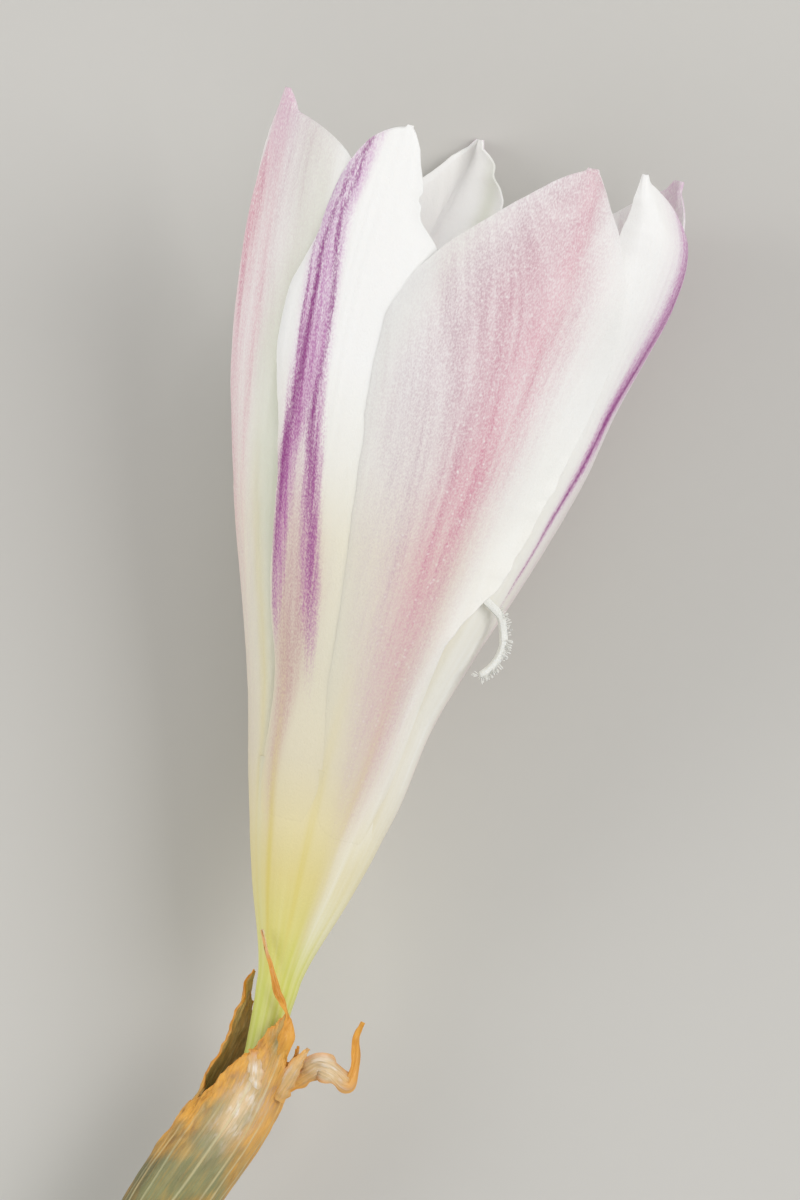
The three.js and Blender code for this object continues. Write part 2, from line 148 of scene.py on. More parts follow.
@dataclass(frozen=True)
class Spine:
    """Line of the stem, ovary and sheath: straight under the bloom, bent at the knee."""

    knee: float = -4.45
    reach: float = 3.0
    lean: float = math.radians(22.6)
    straightens: float = math.radians(24)
    end: float = -53.0

    def point(self, s: float) -> Vector:
        """Point at height s, measured along the line.

        Args:
            s: The height.

        Returns:
            The point in the bloom's frame.
        """
        if s >= self.knee + self.reach:
            return Vector((0.0, s, 0.0))
        knee = Vector((0.0, self.knee, 0.0))
        low = knee + Vector((-math.sin(self.lean), -math.cos(self.lean), 0.0)) * self.reach
        if s > self.knee - self.reach:
            f = (self.knee + self.reach - s) / (2 * self.reach)
            top = Vector((0.0, self.knee + self.reach, 0.0))
            return top * (1 - f) ** 2 + knee * (2 * f * (1 - f)) + low * f**2
        past = self.knee - self.reach - s
        middle = self.lean - self.straightens * past / (self.knee - self.reach - self.end) / 2
        return low + Vector((-math.sin(middle), -math.cos(middle), 0.0)) * past

    def path(self, top: float, bottom: float, steps: int) -> list[Vector]:
        """Places along the line between two heights."""
        return [self.point(s) for s in stepped(top, bottom, steps)]

    def beside(self, azimuth: float, out: float, s: float) -> Vector:
        """Point at an azimuth in degrees and a distance out from the line, at height s."""
        step = 0.1
        up = (self.point(s + step) - self.point(s - step)).normalized()
        angle = math.radians(azimuth)
        right = Vector((up.y, -up.x, 0.0))
        return self.point(s) + right * (out * math.sin(angle)) + Vector((0.0, 0.0, out * math.cos(angle)))


SPINE = Spine()


@dataclass(frozen=True)
class Lie:
    """How the flower lies: on the cut end of its stem and on the flattened belly of the bloom."""

    flat_depth: float = 8.8
    flat_height: float = 30.0
    stem_end_radius: float = 1.1
    shift_x: float = 0.424
    shift_y: float = 7.422

    @property
    def pitch(self) -> float:
        """Angle that raises the mouth of the bloom, in radians."""
        return math.atan((self.flat_depth - self.stem_end_radius) / (self.flat_height - SPINE.point(SPINE.end).y))

    @property
    def matrix(self) -> Matrix:
        """Turn and shift from the bloom's own frame to the model's, in metres."""
        lift = self.flat_depth * math.cos(self.pitch) - self.flat_height * math.sin(self.pitch)
        shift = Matrix.Translation((self.shift_x, self.shift_y, lift))
        return Matrix.Scale(MM, 4) @ shift @ Matrix.Rotation(self.pitch, 4, "X")

    def table_below(self, y: float) -> float:
        """Height of the table under the bloom's axis, as a negative z."""
        return -self.flat_depth - (y - self.flat_height) * math.tan(self.pitch)


LIE = Lie()


def take(*pieces: Piece) -> None:
    """Select these pieces alone, as an operator acts on all that is selected. The first is active."""
    bpy.ops.object.select_all(action="DESELECT")
    for piece in pieces:
        piece.select_set(True)
    bpy.context.view_layer.objects.active = pieces[0]


def add_shape(add: Callable[..., object], name: str, **settings: object) -> Piece:
    """Add one of Blender's basic shapes, selected alone.

    Args:
        add: The operator that adds it.
        name: The piece's name.
        **settings: What the operator takes.

    Returns:
        The piece.
    """
    bpy.ops.object.select_all(action="DESELECT")
    add(**settings)
    piece = bpy.context.active_object
    piece.name = name
    return piece


def pick(piece: Piece, chosen: Sequence[bool], kind: str = "VERT") -> None:
    """Select some of a piece's vertices or faces alone, and stay in edit mode.

    Args:
        piece: The piece, which becomes the active object.
        chosen: True for each one to select, in the mesh's order.
        kind: "VERT" or "FACE".
    """
    take(piece)
    bpy.ops.object.mode_set(mode="EDIT")
    bpy.ops.mesh.select_mode(type=kind)
    bpy.ops.mesh.select_all(action="DESELECT")
    bpy.ops.object.mode_set(mode="OBJECT")
    for element, chose in zip(piece.data.vertices if kind == "VERT" else piece.data.polygons, chosen):
        element.select = chose
    bpy.ops.object.mode_set(mode="EDIT")


def resize(piece: Piece, chosen: Sequence[bool], size: Triple, centre: Sequence[float] = (0.0, 0.0, 0.0)) -> None:
    """Resize some of a piece's vertices along each axis, about a centre."""
    pick(piece, chosen)
    bpy.ops.transform.resize(value=size, center_override=centre)
    bpy.ops.object.mode_set(mode="OBJECT")


def outwards(piece: Piece, close_ends: bool = False) -> None:
    """Point the faces of a piece outwards, and fill its open ends first if that is asked."""
    pick(piece, [True] * len(piece.data.vertices))
    if close_ends:
        bpy.ops.mesh.fill_holes(sides=0)
        bpy.ops.mesh.select_all(action="SELECT")
    bpy.ops.mesh.normals_make_consistent(inside=False)
    bpy.ops.object.mode_set(mode="OBJECT")


def give(piece: Piece, name: str, values: Sequence[float]) -> None:
    """Store one number for each vertex under a name that the material reads."""
    piece.data.attributes.new(name, "FLOAT", "POINT").data.foreach_set("value", values)


def give_flow(piece: Piece, places: Sequence[Vector]) -> None:
    """Store for each vertex its place on the part as it was before it bent, in millimetres."""
    stored = piece.data.attributes.get(FLOW) or piece.data.attributes.new(FLOW, "FLOAT_VECTOR", "POINT")
    stored.data.foreach_set("vector", [number for place in places for number in place])


def sheet_from_grid(
    name: str, columns: int, rows: int, shape: Callable[[float, float], Vector]
) -> tuple[Piece, list[tuple[float, float]]]:
    """Add a flat grid and bring its vertices to their places on a curved sheet.

    Args:
        name: The piece's name.
        columns: Faces across, along u from -1 to 1.
        rows: Faces along, from v = 0 to 1.
        shape: Gives the place of (u, v) in the bloom's frame.

    Returns:
        The piece, and (u, v) of each vertex.
    """
    piece = add_shape(bpy.ops.mesh.primitive_grid_add, name, x_subdivisions=columns, y_subdivisions=rows, size=2.0)
    flat = [(vertex.co.x, (vertex.co.y + 1) / 2) for vertex in piece.data.vertices]
    for vertex, (u, v) in zip(piece.data.vertices, flat):
        vertex.co = shape(u, v)
    piece.data.update()
    return piece, flat


def thicken(
    piece: Piece,
    wall: float,
    offset: float = 0.0,
    shares: Sequence[float] = (),
    thinnest: float = 0.0,
    lined: bool = True,
) -> None:
    """Give a sheet its wall, and mark the inner skin that this adds after the outer one's vertices.

    Args:
        piece: The sheet.
        wall: Its thickness.
        offset: 0 to grow both ways, -1 to grow inwards.
        shares: How near the wall is to its full thickness at each vertex.
        thinnest: Least thickness, as a share of the full one.
        lined: Whether the inner skin has a look of its own.
    """
    outer = len(piece.data.vertices)
    take(piece)
    solidify = piece.modifiers.new("Wall", "SOLIDIFY")
    solidify.thickness = wall
    solidify.offset = offset
    if shares:
        group = piece.vertex_groups.new(name="body")
        for i, share in enumerate(shares):
            group.add([i], share, "REPLACE")
        solidify.vertex_group = group.name
        solidify.thickness_vertex_group = thinnest
    bpy.ops.object.modifier_apply(modifier=solidify.name)
    piece.vertex_groups.clear()
    give(piece, "inside", [float(lined and i >= outer) for i in range(len(piece.data.vertices))])


def turn_by(rotation: Quaternion, centre: Vector) -> None:
    """Turn what is selected about a centre, one axis at a time, with the sign that no window gives."""
    for axis, angle in zip("XYZ", rotation.to_euler("XYZ")):
        if abs(angle) > 1e-6:
            bpy.ops.transform.rotate(value=-angle, orient_axis=axis, center_override=centre)


def extrude_along(
    name: str,
    path: Sequence[Vector],
    radii: Sequence[float],
    sides: int,
    ribs: int = 0,
    groove: float = 1.0,
    closed: bool = True,
) -> Piece:
    """Draw a ring of vertices out along a path, turned and sized at each step.

    Args:
        name: The piece's name.
        path: Places that the ring goes through.
        radii: Its radius at each of them.
        sides: Vertices round the ring.
        ribs: How many ribs run lengthwise.
        groove: Size of the ring between the ribs, as a share.
        closed: Whether its ends are filled.

    Returns:
        The piece, with its flow stored.
    """
    heading = (path[1] - path[0]).normalized()
    ring = {"vertices": sides, "radius": radii[0], "fill_type": "NOTHING", "location": path[0]}
    facing = heading.to_track_quat("Z", "Y").to_euler()
    piece = add_shape(bpy.ops.mesh.primitive_circle_add, name, rotation=facing, **ring)
    bpy.ops.object.transform_apply()
    if ribs:
        resize(piece, [math.cos(2 * math.pi * ribs * k / sides) < 0 for k in range(sides)], (groove,) * 3, path[0])
    pick(piece, [True] * sides)
    last = len(path) - 1
    length = 0.0
    places = [around(360 * side / sides, radii[0], length) for side in range(sides)]
    for k in range(1, last + 1):
        step = path[k] - path[k - 1]
        ahead = (path[min(k + 1, last)] - path[k - 1]).normalized()
        bpy.ops.mesh.extrude_region_move(TRANSFORM_OT_translate={"value": step})
        turn_by(heading.rotation_difference(ahead), path[k])
        bpy.ops.transform.resize(value=(radii[k] / radii[k - 1],) * 3, center_override=path[k])
        heading = ahead
        length += step.length
        places += [around(360 * side / sides, radii[k], length) for side in range(sides)]
    bpy.ops.object.mode_set(mode="OBJECT")
    give_flow(piece, places)
    if closed:
        outwards(piece, close_ends=True)
    return piece


def join(pieces: Sequence[Piece], name: str) -> Piece:
    """Make one object of several, in the first one's place, and name it."""
    take(*pieces)
    if len(pieces) > 1:
        bpy.ops.object.join()
    pieces[0].name = name
    return pieces[0]


def lay_down(piece: Piece, node: str, material: Material, smooth: float) -> None:
    """Bring a piece from the bloom's frame to the model's, dress it and fit it to its node.

    Args:
        piece: The finished piece, in millimetres in the bloom's frame.
        node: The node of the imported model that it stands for.
        material: The finish.
        smooth: Angle in degrees up to which edges are shaded smooth.
    """
    piece.data.name = piece.name
    piece.data.transform(LIE.matrix)
    piece.data.update()
    piece.data.materials.clear()
    piece.data.materials.append(material)
    take(piece)
    bpy.ops.object.shade_smooth_by_angle(angle=math.radians(smooth))
    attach(piece, BODY)
    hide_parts(node)
    log.info("%s stands for %s, %d faces", piece.name, node, len(piece.data.polygons))


def add_node(
    tree: bpy.types.NodeTree,
    kind: str,
    inputs: dict | None = None,
    stops: Sequence[tuple[float, str]] = (),
    **settings: object,
) -> bpy.types.Node:
    """Add a shader node with its settings and what feeds it.

    Args:
        tree: The material's node tree.
        kind: The node's type, without its leading "ShaderNode".
        inputs: Sockets by name or number, each with a value or the socket that feeds it.
        stops: Places and hex colours of a colour ramp.
        **settings: The node's properties.

    Returns:
        The node.
    """
    made = tree.nodes.new("ShaderNode" + kind)
    for name, value in settings.items():
        setattr(made, name, value)
    for key, value in (inputs or {}).items():
        if isinstance(value, Socket):
            tree.links.new(value, made.inputs[key])
        else:
            made.inputs[key].default_value = value
    for i, (place, colour) in enumerate(stops):
        ramp = made.color_ramp.elements
        stop = ramp[i] if i < 2 else ramp.new(place)
        stop.position = place
        stop.color = linear(colour)
    return made


@dataclass
class Finish:
    """Working sheet of one material: its nodes, its colour so far and the steps that layers repeat."""

    name: str
    material: Material = field(init=False)
    tree: bpy.types.NodeTree = field(init=False)
    colour: Socket | tuple = field(init=False)

    BUMP = ("Height", "Distance", "Strength")
    FLESH = ("Subsurface Weight", "Subsurface Scale", "Subsurface Radius")

    def __post_init__(self) -> None:
        """Start an empty node material."""
        self.material = bpy.data.materials.new(self.name)
        self.material.use_nodes = True
        self.tree = self.material.node_tree
        self.tree.nodes.clear()

    def stored(self, name: str, output: str = "Fac") -> Socket:
        """Read what is stored on the piece's vertices."""
        return add_node(self.tree, "Attribute", attribute_name=name).outputs[output]

    def grain(self, place: Socket, size: Triple, detail: float = 2.0, spread: float = 0.2) -> Socket:
        """Noise from 0 to 1 whose patches have a size.

        Args:
            place: Coordinates that it follows.
            size: Size of a patch along each axis, in the unit of those coordinates.
            detail: How many finer noises it carries.
            spread: How far from even it must be to count as full.

        Returns:
            The value's socket.
        """
        at = add_node(self.tree, "Mapping", {0: place, "Scale": tuple(1 / side for side in size)}).outputs[0]
        made = add_node(self.tree, "TexNoise", {"Vector": at, "Scale": 1.0, "Detail": detail})
        return self.spread(made.outputs[0], 0.5 - spread, 0.5 + spread)

    def spread(self, value: Socket, low: float, high: float, to_low: float = 0.0, to_high: float = 1.0) -> Socket:
        """Bring a value from one range to another, and keep it there."""
        return add_node(self.tree, "MapRange", {0: value, 1: low, 2: high, 3: to_low, 4: to_high}).outputs[0]

    def times(self, *values: Value) -> Value:
        """Product of several values, from 0 to 1."""
        result = values[0]
        for value in values[1:]:
            step = add_node(self.tree, "Math", {0: result, 1: value}, operation="MULTIPLY", use_clamp=True)
            result = step.outputs[0]
        return result

    def plus(self, first: Socket, share: float, second: Value) -> Socket:
        """Share of the first value, added to the second."""
        return add_node(self.tree, "Math", {0: first, 1: share, 2: second}, operation="MULTIPLY_ADD").outputs[0]

    def tint(self, under: Socket | tuple, over: Socket | str, *shares: Value) -> Socket:
        """Lay a colour over another one, as far as the product of the shares says."""
        top = linear(over) if isinstance(over, str) else over
        return add_node(self.tree, "Mix", {0: self.times(*shares), 6: under, 7: top}, data_type="RGBA").outputs[2]

    def lay(self, over: Socket | str, *shares: Value) -> None:
        """Lay a colour over all that the sheet has so far."""
        self.colour = self.tint(self.colour, over, *shares)

    def done(self, grain: Socket, roughness: Row, bump: tuple = (), flesh: tuple = (), **inputs: Value) -> Material:
        """Show the layers through one Principled shader.

        Args:
            grain: What the roughness follows, from 0 to 1.
            roughness: The least and the greatest roughness.
            bump: Height of the relief, its depth in metres and its strength.
            flesh: Share of the light that passes in, how deep in metres, and how far each colour goes.
            **inputs: The shader's other inputs, with underscores for spaces.

        Returns:
            The material.
        """
        shader = {"Base Color": self.colour, "Roughness": self.spread(grain, 0.0, 1.0, *roughness)}
        shader |= dict(zip(self.FLESH, flesh)) | {name.replace("_", " "): value for name, value in inputs.items()}
        if bump:
            shader["Normal"] = add_node(self.tree, "Bump", dict(zip(self.BUMP, bump))).outputs[0]
        surface = add_node(self.tree, "BsdfPrincipled", shader).outputs[0]
        add_node(self.tree, "OutputMaterial", {0: surface})
        return self.material


class Pigment(Enum):
    """What colours a tepal's skin, and the vertex attribute that holds how much of it there is."""

    PINK = "pink"
    HAZE = "haze"
    LILAC = "lilac"
    PURPLE = "purple"
    DEEP = "deep"
    TAN = "tan"
    YELLOW = "yellow"
    # Grey-green painted shade, not a pigment: it darkens folds, margins beside neighbouring tepals and faces turned
    # from the light.
    GREEN = "green"
    WHITE = "white"


@dataclass(frozen=True)
class Wash:
    """A band of one pigment along a tepal, at equal steps from the throat to the tip.

    Azimuths and half widths are in degrees, strength is from 0 to 1, and a higher hardness keeps
    the band full up to a crisp side.
    """

    pigment: Pigment
    centre: Row
    half_width: Row
    strength: Row
    hardness: float = 2.0

    WANDER = 0.8
    WANDER_STEPS = 18
    LEAST_HALF = 0.2

    def at(self, azimuth: float, t: float) -> float:
        """How much of the pigment there is at an azimuth, t of the way to the tip."""
        strength = along(self.strength, t)
        if strength <= 0:
            return 0.0
        stray = self.WANDER * rough(t * self.WANDER_STEPS, self.centre[-1], 0.0)
        off = (azimuth - along(self.centre, t) + stray + 180) % 360 - 180
        half = max(along(self.half_width, t), self.LEAST_HALF)
        return strength * math.exp(-(abs(off / half) ** self.hardness))


def give_pigments(
    piece: Piece, washes: Sequence[Wash], spots: Sequence[tuple[float, float]], shares: Sequence[float]
) -> None:
    """Store how much of each pigment there is at each vertex.

    Args:
        piece: The piece.
        washes: Every wash that reaches it.
        spots: Azimuth and t of each vertex.
        shares: How far the washes have come in at each vertex.
    """
    for pigment in Pigment:
        mine = [wash for wash in washes if wash.pigment is pigment]
        amounts = [min(share * sum(wash.at(*spot) for wash in mine), 1.0) for spot, share in zip(spots, shares)]
        give(piece, pigment.value, amounts)


@dataclass(frozen=True)
class Funnel:
    """The bloom's outside: its radius at equal steps of height, from the neck to the tips."""

    top: float = 40.0
    radii: Row = (0.90, 2.12, 3.25, 4.22, 5.50, 6.72, 7.77, 8.42, 8.85, 9.05, 9.15)
    widest: float = 9.0

    def radius(self, y: float) -> float:
        """Radius at height y."""
        return along(self.radii, y / self.top)

    def flow(self, azimuth: float, y: float) -> Vector:
        """Place on the bloom's skin, had it the same width all the way."""
        return around(azimuth, self.widest, y)


FUNNEL = Funnel()


class Whorl(Enum):
    """How far a whorl's middle surface stands from the funnel, in millimetres."""

    OUTER = -0.12
    INNER = -0.50


@dataclass(frozen=True)
class Tepal:
    """One of the six free lobes of the bloom, a thin blade with its pigment.

    The tuples hold values at equal steps from the throat to the tip: azimuth of the midline, reach
    of each margin from it, how far the blade and its margins flare, the curled lip of the right
    margin, and the keel along the midrib. A dent has its t, width in t and depth, and all dents are
    in the margin of dented_side, 1 for the right one and -1 for the left one.
    """

    node: str
    name: str
    whorl: Whorl
    reach: float
    blunt: float
    beak: float
    middle: Row
    left: Row
    right: Row
    flare: Row = (0.0,)
    rim_left: Row = (0.0,)
    rim_right: Row = (0.0,)
    rim_power: float = 2.2
    keel: Row = (0.0,)
    keel_at: Row = (0.0,)
    fan: float = 0.0
    washes: tuple[Wash, ...] = ()
    lip_right: Row = (0.0,)
    dents: tuple[Triple, ...] = ()
    dented_side: float = 1.0
    beak_half: float = 0.13
    beak_widens: float = 0.5
    beak_widest: float = 0.6
    columns: int = 84

    THROAT = 5.2
    THICKNESS = 0.22
    ROWS = 150
    CROWDING = 1.3
    TIP_STARTS = 0.62
    PARTS_FROM = 7.4
    PARTED_BY = 13.0
    FUSED_DEPTH = -0.02
    RIB_HEIGHT = 0.011
    RIB_SPACING = 0.62
    RIB_DRIFT = 1.5
    SWELL_HEIGHT = 0.05
    KEEL_WIDTH = 5.0
    FANS_FROM = 0.5
    FAN_HALF = 12
    MARGIN_WAVER = 0.08
    MARGIN_FROM = 0.72
    MARGIN_THIN = 0.35
    THINNEST = 0.05
    LIP_POWER = 8
    TABLE_GAP = 0.003

    def height(self, t: float) -> float:
        """Height on the axis, t of the way to the tip."""
        return self.THROAT + (self.reach - self.THROAT) * t

    def half_span(self, t: float, side: float) -> float:
        """Reach of a margin in degrees: an elliptic end with a small beak on it.

        Args:
            t: How far along the blade.
            side: -1 for the left margin and 1 for the right one.

        Returns:
            Degrees from the midline to that margin.
        """
        y = self.height(t)
        base = FUNNEL.radius(y)
        round_end = 1 - self.beak / (self.reach - self.THROAT)
        end = held((t - self.TIP_STARTS) / (round_end - self.TIP_STARTS))
        whole = math.radians(along(self.left if side < 0 else self.right, t)) * base
        blade = whole * (1 - end * end) ** self.blunt
        beak = min(self.beak_half + self.beak_widens * (self.reach - y), self.beak_widest)
        dents = self.dents if side == self.dented_side else ()
        dent = sum(deep * bell(t, at, wide) for at, wide, deep in dents)
        waver = rough(y * 0.9, side * 7.0, self.reach * 3.1) + 0.5 * rough(y * 2.7, side * 3.0, self.reach)
        fade = ease(0.2, 0.5, t) * (1 - ease(0.93, 1, t))
        return math.degrees((math.hypot(blade, beak) + self.MARGIN_WAVER * waver * fade - dent) / base)

    def spot(self, u: float, v: float) -> tuple[float, float]:
        """Azimuth in degrees and t of a point of the grid, whose rows crowd towards the tip."""
        t = 1 - (1 - v) ** self.CROWDING
        return along(self.middle, t) + u * self.half_span(t, math.copysign(1.0, u)), t

    def vein_azimuth(self, azimuth: float, t: float) -> float:
        """Azimuth that a lengthwise vein through this place starts from, as veins fan out."""
        off = along(self.middle, t) - azimuth
        return azimuth + self.fan * max(t - self.FANS_FROM, 0.0) ** 2 * math.tanh(off / self.FAN_HALF)

    def relief(self, azimuth: float, t: float, u: float, base: float) -> float:
        """Height of the lengthwise ribs, soft swellings and the keel along the midrib."""
        arc = math.radians(self.vein_azimuth(azimuth, t)) * base
        drift = self.RIB_DRIFT * rough(arc * 0.5, t * 2.0, self.reach)
        ribs = self.RIB_HEIGHT * math.cos(2 * math.pi * (arc / self.RIB_SPACING + drift))
        swell = self.SWELL_HEIGHT * rough(arc * 0.35, t * 6.0, 2.0 + self.reach)
        off = (azimuth - along(self.middle, t) - along(self.keel_at, t)) / self.KEEL_WIDTH
        keel = along(self.keel, t) / math.cosh(2 * off)
        return (ribs + swell) * (1 - abs(u) ** 4) * ease(0.1, 0.3, t) + keel

    def place(self, u: float, v: float) -> Vector:
        """Point of the blade's middle surface in the bloom's frame."""
        azimuth, t = self.spot(u, v)
        y = self.height(t)
        base = FUNNEL.radius(y)
        rim = along(self.rim_left if u < 0 else self.rim_right, t) * abs(u) ** self.rim_power
        rim += along(self.lip_right, t) * max(u, 0.0) ** self.LIP_POWER * (1 + 0.5 * rough(y * 1.3, 3.0, 1.0))
        parted = ease(self.PARTS_FROM, self.PARTED_BY, y)
        fused = self.FUSED_DEPTH * (2 if self.whorl is Whorl.INNER else 1) - self.THICKNESS / 2
        depth = fused + (self.whorl.value - fused) * parted
        point = around(azimuth, base + depth + along(self.flare, t) + rim + self.relief(azimuth, t, u, base), y)
        point.z = max(point.z, LIE.table_below(y) + self.THICKNESS / 2 + self.TABLE_GAP)
        return point

    def build(self) -> Piece:
        """Make the blade as a thin closed sheet that carries its pigment.

        Returns:
            The piece, in the bloom's frame.
        """
        piece, flat = sheet_from_grid(self.name, self.columns, self.ROWS, self.place)
        spots = [self.spot(u, v) for u, v in flat]
        give_pigments(piece, self.washes, spots, [1.0] * len(spots))
        give_flow(piece, [FUNNEL.flow(self.vein_azimuth(azimuth, t), self.height(t)) for azimuth, t in spots])
        full = [1 - ease(self.MARGIN_FROM, 1.0, abs(u)) * (1 - self.MARGIN_THIN) for u, _ in flat]
        thicken(piece, self.THICKNESS, shares=full, thinnest=self.THINNEST)
        outwards(piece)
        return piece


